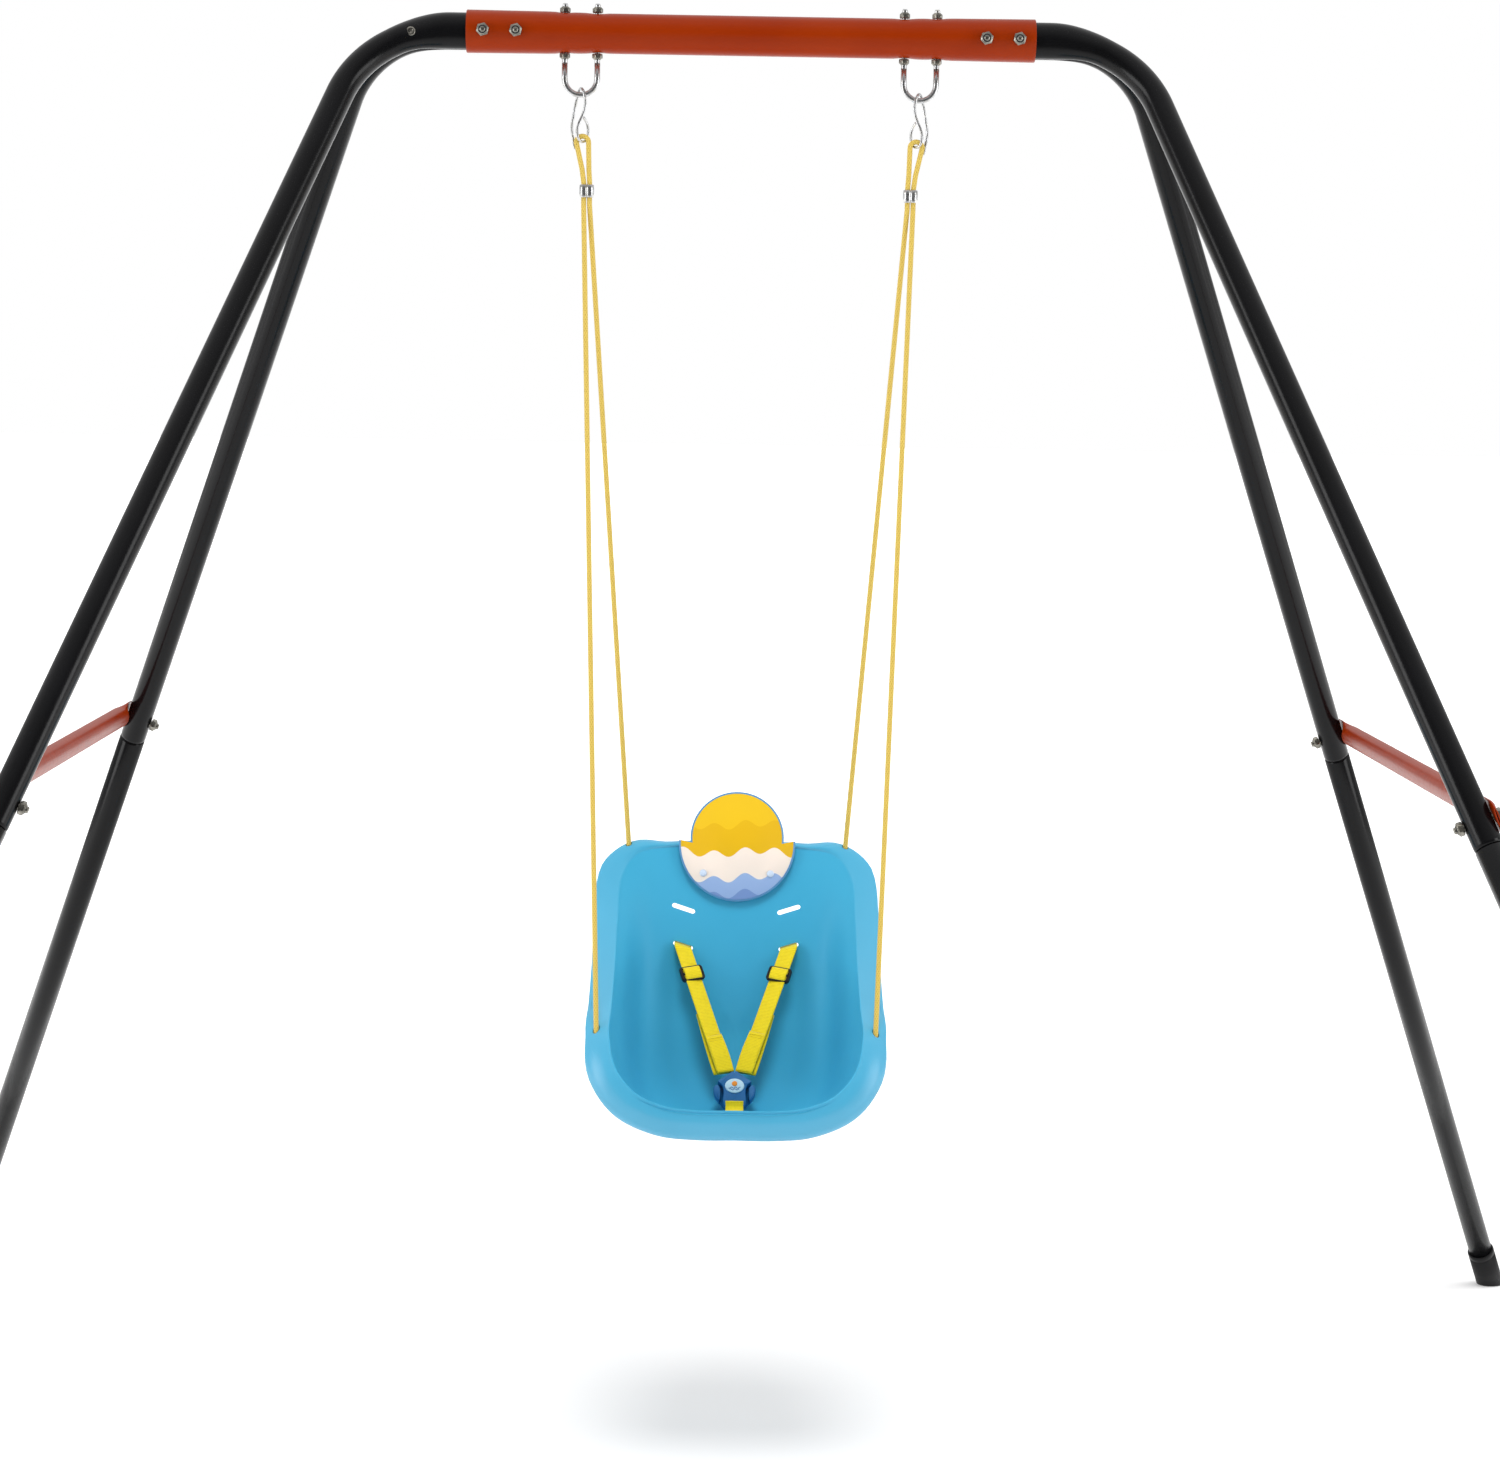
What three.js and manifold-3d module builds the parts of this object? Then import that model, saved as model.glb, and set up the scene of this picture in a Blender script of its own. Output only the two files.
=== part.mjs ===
// Toddler swing set: a two-legged tube frame at each end, a crossbar, and a
// moulded bucket seat that hangs on two cords. Millimetres, +Z up. The origin is
// on the floor, midway between the feet. The child looks towards -Y.
import * as THREE from "three";
import * as BufferGeometryUtils from "three/addons/utils/BufferGeometryUtils.js";
import Module from "manifold-3d";

const wasm = await Module();
wasm.setup();

// ---- Driving dimensions ------------------------------------------------------
const GAP = 0.3;                     // clearance between neighbouring pieces
const BAR_HEIGHT = 1240;             // crossbar centreline above the floor
const BAR_HALF_LENGTH = 242;
const BAR_RADIUS = 16.9;             // middle of the crossbar
const BAR_END_RADIUS = 18.2;         // its flared ends
const BAR_WALL = 1.4;
const TUBE_RADIUS = 12;              // leg tube
const TUBE_WALL = 1.2;
const FOOT_X = 818.5;                // where a leg's centreline meets the floor
const FOOT_Y = 662.5;
const LEG_SLOPE_X = 0.3994;          // how far a leg leans in X and Y for each mm of height
const LEG_SLOPE_Y = 0.5292;
const BEND_RADIUS = 96;
const HALF_ROUND_HEIGHT = 15.5;      // half height of a leg's half-round top end
const HALF_ROUND_DEPTH = 12.7;
const LEG_INSERT_X = 186;            // how far in the half-round end reaches
const ROUND_AT_ANGLE = 32 * Math.PI / 180;   // by this much bend the tube is round again
const LEG_JOINT_Z = 596;             // where the upper tube ends on the lower one
const SPIGOT_TOP_Z = 646;
const SPIGOT_RADIUS = (TUBE_RADIUS - TUBE_WALL) * Math.cos(Math.PI / 12) - GAP;
const CAP_RADIUS = 13.8;
const CAP_LENGTH = 46;
const TUBE_END_ON_FLOOR = 13;        // height of a lower tube's end on its centreline
const BRACE_Z = 615;
const BRACE_RADIUS = 9.5;
const BRACE_FLAT_HALF = 13.5;        // half width of a flattened brace end
const BRACE_FLAT_THICK = 1.6;        // half thickness there
const M6 = { shank: 3, head: 5, headHeight: 4, nutHeight: 5, hole: 3.4 };
const M5 = { shank: 2.5, nut: 4, nutHeight: 4.4, hole: 2.9 };
const BAR_BOLT_X = { inner: 199.5, outer: 227.5 };
const U_BOLT_X = 144.6;
const U_BOLT_RADIUS = 13.85;
const U_BOLT_BOTTOM_Z = 1188;        // wire centre at the bottom of the bow: the swing's axis
const U_BOLT_TOP_Z = 1265;
const HOOK_WIRE = 1.2;
const ROPE_RADIUS = 2.2;
const ROPE_TOP_Z = 1153.3;
const FERRULE_Z = { bottom: 1101, top: 1113 };
const FERRULE_X = 138.5;
const STRAND_OFFSET = 2.5;
const SEAT_WALL = 3;
const FRONT_HOLE = [119.5, -73, 393];
const REAR_HOLE = [97, 89.5, 534];
const KNOT_RADIUS = 5.6;
const STRAP_WIDTH = 15;
const STRAP_THICK = 1.5;
const STRAP_TOP = [47, 64, 446];     // where a shoulder strap leaves its slot
const UPPER_SLOT_Z = 478;            // the empty pair of slots above
const SLOT_Y = 71;
const SLOT_HEIGHT = 4.2;
const SLOT_TILT = 18 * Math.PI / 180;
const CROTCH_SLOT = [0, -51, 306];
const STRAP_BOTTOM = [8.1, -15.2, 346.8];
const BUCKLE_CENTRE = [0, -23, 333];
const BUCKLE_RECLINE = 34 * Math.PI / 180;
const BUCKLE = { halfHeight: 17, thick: 9 };
const BADGE_CENTRE = [0, 88, 540];
const BADGE_TILT = 15 * Math.PI / 180;

const sides = { left: -1, right: 1 };
const ends = { front: -1, rear: 1 };

const V = (x, y, z) => new THREE.Vector3(x, y, z);
const legAt = (sx, sy, z) => V(sx * (FOOT_X - LEG_SLOPE_X * z), sy * (FOOT_Y - LEG_SLOPE_Y * z), z);
const legDown = (sx, sy) => V(sx * LEG_SLOPE_X, sy * LEG_SLOPE_Y, -1).normalize();

// ---- Materials ---------------------------------------------------------------
const finish = (color, roughness, metalness) =>
  new THREE.MeshStandardMaterial({ color, roughness, metalness });
const orangePaint = finish(0xb04a18, 0.35, 0.1);
const blackPaint = finish(0x17181a, 0.35, 0.1);
const zinc = finish(0xc9c5b4, 0.3, 1);
const blackPlastic = finish(0x141414, 0.5, 0);
const bluePlastic = finish(0x4dacd7, 0.45, 0);
const navyPlastic = finish(0x1d5590, 0.4, 0);
const palePlastic = finish(0xf2d84a, 0.35, 0);
const yellowCord = finish(0xe6c350, 0.8, 0);
const yellowWebbing = finish(0xebd214, 0.85, 0);

// ---- Geometry helpers --------------------------------------------------------
const bare = (geometry) => {
  geometry.deleteAttribute("normal");
  geometry.deleteAttribute("uv");
  return BufferGeometryUtils.mergeVertices(geometry, 1e-4);
};

const toSolid = (geometry) => {
  const merged = bare(geometry.clone());
  return new wasm.Manifold(new wasm.Mesh({
    numProp: 3,
    vertProperties: new Float32Array(merged.attributes.position.array),
    triVerts: new Uint32Array(merged.index.array),
  }));
};

const fromSolid = (solid) => {
  const mesh = solid.getMesh();
  const geometry = new THREE.BufferGeometry();
  geometry.setAttribute("position", new THREE.BufferAttribute(new Float32Array(mesh.vertProperties), 3));
  geometry.setIndex(new THREE.BufferAttribute(new Uint32Array(mesh.triVerts), 1));
  return geometry;
};

const cut = (geometry, ...tools) => {
  const start = toSolid(geometry);
  return fromSolid(tools.reduce((solid, tool) => solid.subtract(toSolid(tool)), start));
};

const join = (geometry, ...others) => {
  const start = toSolid(geometry);
  return fromSolid(others.reduce((solid, other) => solid.add(toSolid(other)), start));
};

// Turns a geometry built along +Z so that +Z follows `direction`, and moves it to `place`.
const aim = (geometry, place, direction) => {
  const turn = new THREE.Quaternion().setFromUnitVectors(V(0, 0, 1), direction.clone().normalize());
  return geometry.applyQuaternion(turn).translate(place.x, place.y, place.z);
};

const rod = (radius, length, place, direction, segments = 10) =>
  aim(new THREE.CylinderGeometry(radius, radius, length, segments).rotateX(Math.PI / 2), place, direction);

// A solid skin through rings of points. Rings run round the same way, and each
// end is closed by a fan, or by a band to the matching inner ring.
const loft = (outer, inner = null) => {
  const count = outer[0].length;
  const points = [];
  const index = [];
  const put = (rings) => rings.map((ring) => ring.map((p) => points.push(p.x, p.y, p.z) / 3 - 1));
  const band = (a, b, flip) => {
    for (let i = 0; i < count; i += 1) {
      const j = (i + 1) % count;
      const quad = flip ? [a[i], b[i], a[j], a[j], b[i], b[j]] : [a[i], a[j], b[i], a[j], b[j], b[i]];
      index.push(...quad);
    }
  };
  const skin = put(outer);
  const last = skin.length - 1;
  for (let k = 0; k < last; k += 1) band(skin[k], skin[k + 1], false);
  if (inner) {
    const bore = put(inner);
    for (let k = 0; k < last; k += 1) band(bore[k], bore[k + 1], true);
    band(skin[0], bore[0], true);
    band(skin[last], bore[last], false);
  } else {
    for (const [k, flip] of [[0, true], [last, false]]) {
      const middle = outer[k].reduce((sum, p) => sum.add(p), V(0, 0, 0)).divideScalar(count);
      points.push(middle.x, middle.y, middle.z);
      const centre = points.length / 3 - 1;
      for (let i = 0; i < count; i += 1) {
        const j = (i + 1) % count;
        index.push(...(flip ? [centre, skin[k][j], skin[k][i]] : [centre, skin[k][i], skin[k][j]]));
      }
    }
  }
  const geometry = new THREE.BufferGeometry();
  geometry.setAttribute("position", new THREE.Float32BufferAttribute(points, 3));
  geometry.setIndex(index);
  return geometry;
};

// Makes the faces of a closed skin point outwards, whichever way its rings ran.
const facingOut = (geometry) => {
  const p = geometry.attributes.position;
  const index = geometry.index.array;
  const [a, b, c] = [V(0, 0, 0), V(0, 0, 0), V(0, 0, 0)];
  let volume = 0;
  for (let i = 0; i < index.length; i += 3) {
    a.fromBufferAttribute(p, index[i]);
    b.fromBufferAttribute(p, index[i + 1]);
    c.fromBufferAttribute(p, index[i + 2]);
    volume += a.dot(b.cross(c));
  }
  if (volume < 0) {
    for (let i = 0; i < index.length; i += 3) [index[i], index[i + 1]] = [index[i + 1], index[i]];
  }
  return geometry;
};

// Sweeps a section along points. section(k) gives [side, up] pairs for ring k.
const sweep = (path, section, firstSide) => {
  let side = firstSide.clone();
  const rings = path.map((point, k) => {
    const before = path[Math.max(k - 1, 0)];
    const after = path[Math.min(k + 1, path.length - 1)];
    const along = after.clone().sub(before).normalize();
    side = side.clone().addScaledVector(along, -side.dot(along)).normalize();
    const up = along.clone().cross(side);
    return section(k).map(([s, u]) => point.clone().addScaledVector(side, s).addScaledVector(up, u));
  });
  return facingOut(loft(rings));
};

const circle = (radius, count) => Array.from({ length: count }, (_, i) => {
  const angle = (i / count) * 2 * Math.PI;
  return [radius * Math.cos(angle), radius * Math.sin(angle)];
});

const wire = (path, radius, count, firstSide) => {
  const section = circle(radius, count);
  return sweep(path, () => section, firstSide);
};

const group = new THREE.Group();
const add = (name, geometry, material) => {
  const mesh = new THREE.Mesh(bare(geometry), material);
  mesh.name = name;
  group.add(mesh);
};

// ---- Fasteners ---------------------------------------------------------------
// A hex bolt whose head's inner face is at `seat`; its shank runs `length` along `into`.
const hexBolt = (seat, into, length) => {
  const corner = M6.head / Math.cos(Math.PI / 6);
  const head = rod(corner, M6.headHeight, seat.clone().addScaledVector(into, -M6.headHeight / 2), into, 6);
  const shank = rod(M6.shank, length + 1, seat.clone().addScaledVector(into, (length - 1) / 2), into, 10);
  return join(head, shank);
};

const hexNut = (centre, axis, acrossFlatsHalf, height, holeRadius) => {
  const corner = acrossFlatsHalf / Math.cos(Math.PI / 6);
  return cut(rod(corner, height, centre, axis, 6), rod(holeRadius, height + 2, centre, axis, 10));
};

// ---- Crossbar ----------------------------------------------------------------
{
  const stations = [
    [-BAR_HALF_LENGTH, BAR_END_RADIUS],
    [-U_BOLT_X - 34, BAR_END_RADIUS - 0.4],
    [-U_BOLT_X + 24, BAR_RADIUS],
    [U_BOLT_X - 24, BAR_RADIUS],
    [U_BOLT_X + 34, BAR_END_RADIUS - 0.4],
    [BAR_HALF_LENGTH, BAR_END_RADIUS],
  ];
  const profile = [
    ...stations.map(([x, r]) => new THREE.Vector2(r, x)),
    ...stations.reverse().map(([x, r]) => new THREE.Vector2(r - BAR_WALL, x)),
  ];
  profile.push(profile[0].clone());
  const tube = facingOut(bare(new THREE.LatheGeometry(profile, 16).rotateZ(-Math.PI / 2)
    .translate(0, 0, BAR_HEIGHT)));
  const holes = [];
  for (const sx of Object.values(sides)) {
    for (const x of Object.values(BAR_BOLT_X)) {
      holes.push(rod(M6.hole, 60, V(sx * x, 0, BAR_HEIGHT), V(0, 1, 0)));
    }
    for (const leg of [-1, 1]) {
      holes.push(rod(M5.hole, 60, V(sx * U_BOLT_X + leg * U_BOLT_RADIUS, 0, BAR_HEIGHT), V(0, 0, 1)));
    }
  }
  add("crossbar", cut(tube, ...holes), orangePaint);
}

// ---- Legs --------------------------------------------------------------------
const LEAN = Math.atan(LEG_SLOPE_Y);
const BEND_ANGLE = Math.acos(LEG_SLOPE_X / Math.hypot(LEG_SLOPE_X, LEG_SLOPE_Y, 1));
const CORNER_X = FOOT_X - LEG_SLOPE_X * BAR_HEIGHT;
const CORNER_Y = FOOT_Y - LEG_SLOPE_Y * BAR_HEIGHT;
const BEND_START_X = CORNER_X - BEND_RADIUS * Math.tan(BEND_ANGLE / 2);
const RING_POINTS = 12;

// One ring of an upper leg on the +X, +Y side. `half` is 1 where the tube is
// pressed to a half round and 0 where it is round.
const legRing = (point, along, half, wall) => {
  const depth = THREE.MathUtils.lerp(TUBE_RADIUS, HALF_ROUND_DEPTH, half) - wall;
  const flat = THREE.MathUtils.lerp(TUBE_RADIUS, 1.9, half) - wall;
  const height = THREE.MathUtils.lerp(TUBE_RADIUS, HALF_ROUND_HEIGHT, half) - wall;
  const lean = LEAN * (1 - half);
  const out = V(0, Math.cos(lean), Math.sin(lean));
  const up = along.clone().cross(out).normalize();
  const side = up.clone().cross(along).normalize();
  return Array.from({ length: RING_POINTS }, (_, i) => {
    const angle = (i / RING_POINTS) * 2 * Math.PI;
    const c = Math.cos(angle);
    return point.clone()
      .addScaledVector(side, c * (c > 0 ? depth : flat))
      .addScaledVector(up, height * Math.sin(angle));
  });
};

const upperLegRings = (wall) => {
  const rings = [];
  const station = (x, drop, along, half) => {
    const own = THREE.MathUtils.lerp(TUBE_RADIUS, 1.9, half) + 0.6;
    const lean = Math.max(0, CORNER_Y + drop * Math.sin(LEAN) - TUBE_RADIUS - 0.6);
    const centre = V(x, own + lean * (1 - half), BAR_HEIGHT - drop * Math.cos(LEAN));
    rings.push(legRing(centre, along, half, wall));
  };
  for (const x of [LEG_INSERT_X, BAR_HALF_LENGTH, BEND_START_X]) station(x, 0, V(1, 0, 0), 1);
  const steps = 9;
  for (let k = 1; k <= steps; k += 1) {
    const angle = (k / steps) * BEND_ANGLE;
    const half = 1 - THREE.MathUtils.smoothstep(angle, 0, ROUND_AT_ANGLE);
    const along = V(Math.cos(angle), Math.sin(angle) * Math.sin(LEAN), -Math.sin(angle) * Math.cos(LEAN));
    station(BEND_START_X + BEND_RADIUS * Math.sin(angle), BEND_RADIUS * (1 - Math.cos(angle)), along, half);
  }
  rings.push(legRing(legAt(1, 1, LEG_JOINT_Z + GAP), legDown(1, 1), 0, wall));
  return rings;
};

const boltAxis = (sx) => V(sx, 0, LEG_SLOPE_X).normalize();

for (const [sideName, sx] of Object.entries(sides)) {
  for (const [endName, sy] of Object.entries(ends)) {
    const name = `${sideName}_${endName}`;
    const place = (rings) => rings.map((ring) => ring.map((p) => V(p.x * sx, p.y * sy, p.z)));
    const down = legDown(sx, sy);
    const boltPoint = legAt(sx, sy, BRACE_Z);
    const boltHole = rod(M6.hole, 60, boltPoint, boltAxis(sx));

    const upper = facingOut(loft(place(upperLegRings(0)), place(upperLegRings(TUBE_WALL))));
    const barHoles = Object.values(BAR_BOLT_X).map((x) =>
      rod(M6.hole, 60, V(sx * x, 0, BAR_HEIGHT), V(0, 1, 0)));
    add(`upper_leg_${name}`, cut(upper, boltHole, ...barHoles), blackPaint);

    const spigotLength = legAt(sx, sy, SPIGOT_TOP_Z).distanceTo(legAt(sx, sy, LEG_JOINT_Z));
    const tubeLength = legAt(sx, sy, LEG_JOINT_Z).distanceTo(legAt(sx, sy, TUBE_END_ON_FLOOR));
    const lowerProfile = [
      [SPIGOT_RADIUS, 0], [SPIGOT_RADIUS, spigotLength], [TUBE_RADIUS, spigotLength],
      [TUBE_RADIUS, spigotLength + tubeLength], [TUBE_RADIUS - TUBE_WALL, spigotLength + tubeLength],
      [TUBE_RADIUS - TUBE_WALL, spigotLength + 14], [SPIGOT_RADIUS - TUBE_WALL, spigotLength + 2],
      [SPIGOT_RADIUS - TUBE_WALL, 0], [SPIGOT_RADIUS, 0],
    ].map(([r, z]) => new THREE.Vector2(r, z));
    const lower = aim(new THREE.LatheGeometry(lowerProfile, RING_POINTS).rotateX(Math.PI / 2),
      legAt(sx, sy, SPIGOT_TOP_Z), down);
    add(`lower_leg_${name}`, cut(facingOut(bare(lower)), boltHole), blackPaint);

    // The cap slides over the tube's end and is moulded flat underneath.
    const capTop = legAt(sx, sy, TUBE_END_ON_FLOOR).addScaledVector(down, -CAP_LENGTH + 12);
    const bore = TUBE_RADIUS + GAP;
    const capProfile = [
      [bore, 0], [CAP_RADIUS - 0.6, 0], [CAP_RADIUS, 2],
      [CAP_RADIUS, CAP_LENGTH + 2], [CAP_RADIUS - 4, CAP_LENGTH + 8],
      [0, CAP_LENGTH + 8], [0, CAP_LENGTH - 12 + GAP], [bore, CAP_LENGTH - 12 + GAP], [bore, 0],
    ].map(([r, z]) => new THREE.Vector2(r, z));
    const cap = aim(new THREE.LatheGeometry(capProfile, RING_POINTS).rotateX(Math.PI / 2), capTop, down);
    const floor = new THREE.BoxGeometry(120, 120, 60).translate(sx * FOOT_X, sy * FOOT_Y, -30);
    add(`foot_cap_${name}`, cut(facingOut(bare(cap)), floor), blackPlastic);
  }
}

// ---- Side braces -------------------------------------------------------------
const braceOffset = TUBE_RADIUS + GAP + BRACE_FLAT_THICK;
const braceHalf = legAt(1, 1, BRACE_Z).y;
for (const [sideName, sx] of Object.entries(sides)) {
  const axis = boltAxis(sx);
  const flatUp = V(0, 1, 0).cross(axis).normalize();
  const middle = legAt(sx, 1, BRACE_Z).setY(0).addScaledVector(axis, braceOffset);
  const reach = braceHalf + 12;
  const stations = [[reach, 1], [reach - 26, 1], [reach - 52, 0]];
  const both = [...stations, ...stations.map(([y, flat]) => [-y, flat]).reverse()];
  const rings = (wall) => both.map(([y, flat]) => {
    const thick = THREE.MathUtils.lerp(BRACE_RADIUS - wall, wall ? 0.5 : BRACE_FLAT_THICK, flat);
    const wide = THREE.MathUtils.lerp(BRACE_RADIUS, BRACE_FLAT_HALF, flat) - wall;
    return Array.from({ length: 12 }, (_, i) => {
      const angle = (i / 12) * 2 * Math.PI;
      return middle.clone().setY(y)
        .addScaledVector(axis, thick * Math.cos(angle))
        .addScaledVector(flatUp, wide * Math.sin(angle));
    });
  });
  const holes = Object.values(ends).map((sy) => rod(M6.hole, 60, legAt(sx, sy, BRACE_Z), axis));
  add(`brace_${sideName}`, cut(facingOut(loft(rings(0), rings(1))), ...holes), orangePaint);

  for (const [endName, sy] of Object.entries(ends)) {
    const point = legAt(sx, sy, BRACE_Z);
    const headSeat = point.clone().addScaledVector(axis, braceOffset + BRACE_FLAT_THICK + GAP);
    const nutSeat = TUBE_RADIUS + GAP + M6.nutHeight / 2;
    const shank = braceOffset + BRACE_FLAT_THICK + GAP + nutSeat + M6.nutHeight / 2 + 1;
    add(`brace_bolt_${sideName}_${endName}`, hexBolt(headSeat, axis.clone().negate(), shank), zinc);
    add(`brace_nut_${sideName}_${endName}`,
      hexNut(point.clone().addScaledVector(axis, -nutSeat), axis, M6.head, M6.nutHeight, M6.hole), zinc);
  }
}

// ---- Crossbar bolts and U-bolts ----------------------------------------------
for (const [sideName, sx] of Object.entries(sides)) {
  for (const [placeName, x] of Object.entries(BAR_BOLT_X)) {
    const seat = BAR_END_RADIUS + GAP;
    const nutCentre = -(seat + M6.nutHeight / 2);
    add(`crossbar_bolt_${sideName}_${placeName}`,
      hexBolt(V(sx * x, seat, BAR_HEIGHT), V(0, -1, 0), 2 * seat + M6.nutHeight + 1.5), zinc);
    add(`crossbar_nut_${sideName}_${placeName}`,
      hexNut(V(sx * x, nutCentre, BAR_HEIGHT), V(0, 1, 0), M6.head, M6.nutHeight, M6.hole), zinc);
  }

  const bow = [];
  const bowSteps = 10;
  bow.push(V(sx * U_BOLT_X - U_BOLT_RADIUS, 0, U_BOLT_TOP_Z));
  for (let k = 0; k <= bowSteps; k += 1) {
    const angle = Math.PI + (k / bowSteps) * Math.PI;
    bow.push(V(sx * U_BOLT_X + U_BOLT_RADIUS * Math.cos(angle), 0,
      U_BOLT_BOTTOM_Z + U_BOLT_RADIUS * (1 + Math.sin(angle))));
  }
  bow.push(V(sx * U_BOLT_X + U_BOLT_RADIUS, 0, U_BOLT_TOP_Z));
  add(`u_bolt_${sideName}`, wire(bow, M5.shank, 10, V(0, 1, 0)), zinc);

  for (const [legName, leg] of [["outer", sx], ["inner", -sx]]) {
    const x = sx * U_BOLT_X + leg * U_BOLT_RADIUS;
    const clear = BAR_END_RADIUS + GAP + M5.nutHeight / 2;
    for (const [levelName, level] of [["top", 1], ["lower", -1]]) {
      add(`u_bolt_${levelName}_nut_${sideName}_${legName}`,
        hexNut(V(x, 0, BAR_HEIGHT + level * clear), V(0, 0, 1), M5.nut, M5.nutHeight, M5.hole), zinc);
    }
  }
}

// ---- Hooks, ropes and ferrules -----------------------------------------------
// A bent wire hook. Each point of its centreline is measured from the bottom of
// the U-bolt's bow: towards the swing's middle, towards the back, and up.
const HOOK_POINTS = [
  [-4.8, 5.2, -45.5], [-6.4, 5.2, -36], [-7.5, 5.2, -27.3], [-6.2, 5, -18], [-4.6, 4.6, -9],
  [-3, 4.6, -2], [-1.4, 3.1, 3.7], [0.4, 0, 5.6], [2.2, -3.3, 3.6], [3.6, -4.7, -1.5],
  [4.3, -4.6, -6.5], [3.6, -4.2, -12], [1.6, -4, -18], [-1.2, -4.1, -24.5], [-2.5, -4.3, -30],
  [-2, -4.1, -35.2], [-0.2, -2.2, -38.6], [2, 0, -39.4], [4.2, 2.2, -38.6], [6, 4.1, -35.2],
  [6.5, 4.3, -30], [5.6, 3.4, -24.6], [3.6, 1.2, -20.2], [2.4, -0.6, -18.4],
];
const ROPE_LOOP = 5.2;
const ropeLoopX = U_BOLT_X - 2;
for (const [sideName, sx] of Object.entries(sides)) {
  const spine = HOOK_POINTS.map(([inward, back, up]) =>
    V(sx * (U_BOLT_X - inward), back, U_BOLT_BOTTOM_Z + up));
  const hookPath = new THREE.CatmullRomCurve3(spine).getPoints(40);
  add(`hook_${sideName}`, wire(hookPath, HOOK_WIRE, 7, V(0, 1, 0)), zinc);

  // One rope on each side: from the arm up through its ferrule, over the hook's
  // eye, down through the ferrule and on to the top of the back.
  const outer = FERRULE_X + STRAND_OFFSET;
  const inner = FERRULE_X - STRAND_OFFSET;
  const frontHole = V(...FRONT_HOLE);
  const rearHole = V(...REAR_HOLE);
  const frontTop = V(outer, 0, FERRULE_Z.bottom - 5);
  const rearTop = V(inner, 0, FERRULE_Z.bottom - 5);
  const frontKnot = frontHole.clone().addScaledVector(frontHole.clone().sub(frontTop).normalize(), 15);
  const rearKnot = rearHole.clone().addScaledVector(rearHole.clone().sub(rearTop).normalize(), 15);
  const loop = [];
  const loopSteps = 8;
  for (let k = 0; k <= loopSteps; k += 1) {
    const angle = (k / loopSteps) * Math.PI;
    loop.push(V(ropeLoopX + ROPE_LOOP * Math.cos(angle), 0,
      ROPE_TOP_Z - ROPE_LOOP + ROPE_LOOP * Math.sin(angle)));
  }
  const route = [
    frontKnot, frontHole, frontHole.clone().lerp(frontTop, 0.5), frontTop,
    V(outer, 0, FERRULE_Z.bottom), V(outer, 0, FERRULE_Z.top),
    V(outer + 1.6, 0, FERRULE_Z.top + 12), ...loop, V(inner + 0.8, 0, FERRULE_Z.top + 12),
    V(inner, 0, FERRULE_Z.top), V(inner, 0, FERRULE_Z.bottom),
    rearTop, rearTop.clone().lerp(rearHole, 0.5), rearHole, rearKnot,
  ].map((p) => V(p.x * sx, p.y, p.z));
  const cord = wire(route, ROPE_RADIUS, 8, V(0, 1, 0));
  const knots = [route[0], route[route.length - 1]].map((p) =>
    new THREE.SphereGeometry(KNOT_RADIUS, 8, 6).translate(p.x, p.y, p.z));
  add(`rope_${sideName}`, join(cord, ...knots), yellowCord);

  // A pressed double barrel: two sleeves side by side in one piece.
  const height = FERRULE_Z.top - FERRULE_Z.bottom;
  const barrel = (x, radius, length) =>
    rod(radius, length, V(sx * x, 0, (FERRULE_Z.bottom + FERRULE_Z.top) / 2), V(0, 0, 1), 12);
  const sleeve = ROPE_RADIUS + 1.5;
  const body = join(barrel(outer, sleeve, height - 1), barrel(inner, sleeve, height - 1));
  const bores = [outer, inner].map((x) => barrel(x, ROPE_RADIUS + GAP, height + 4));
  add(`rope_ferrule_${sideName}`, cut(body, ...bores), zinc);
}

// ---- Seat shell --------------------------------------------------------------
// Right half of the seat's inner face, as rings from the rim's crest inwards.
// Each row runs from the middle of the back's top edge, down the side and along
// the front lip to its middle.
const CREST = [
  [0, 90, 531], [58, 89, 531], [88, 83, 526], [102, 71, 508], [105, 43, 475], [106, 1, 440],
  [107.5, -47, 410], [108.5, -83, 391], [102, -101, 366], [85, -110, 347], [60, -115, 337],
  [34, -116, 334], [0, -116, 334],
];
const WALL = [
  [0, 84, 512], [50, 83.5, 512], [77, 78, 508], [91, 66, 492], [96, 43, 464], [98, 11, 434],
  [99, -23, 400], [99, -53, 371], [93, -71, 345], [77, -87, 326], [55, -97, 317],
  [31, -100, 315], [0, -100, 315],
];
const CORNER = [
  [0, 77, 486], [38, 77, 486], [60, 73, 482], [72, 65, 468], [77, 55, 446], [80, 43, 420],
  [81, 25, 386], [80, 3, 350], [73, -21, 325], [58, -45, 311], [40, -59, 308],
  [22, -63, 307.5], [0, -63, 307.5],
];
const PANEL = [
  [0, 67, 452], [20, 67, 452], [34, 66, 449], [42, 63.5, 441], [46, 60, 428], [48, 55, 408],
  [48, 46, 380], [46, 32, 348], [40, 15, 325], [30, -5, 312], [20, -17, 308],
  [10, -21, 307], [0, -21, 307],
];
const PANEL_MIDDLE = [0, 52, 400];
const SEAT_MIDDLE_Z = 430;
// Width of the turned-out rim beside each crest point, and how far it turns back.
const RIM_WIDTH = [5, 4.5, 11, 20, 21.5, 20.5, 20, 20.5, 26, 28.5, 28.5, 28, 28];
const RIM_BACK = [9, 9, 13, 15, 15, 15, 15, 17, 19, 20, 20, 20, 20];
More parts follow.
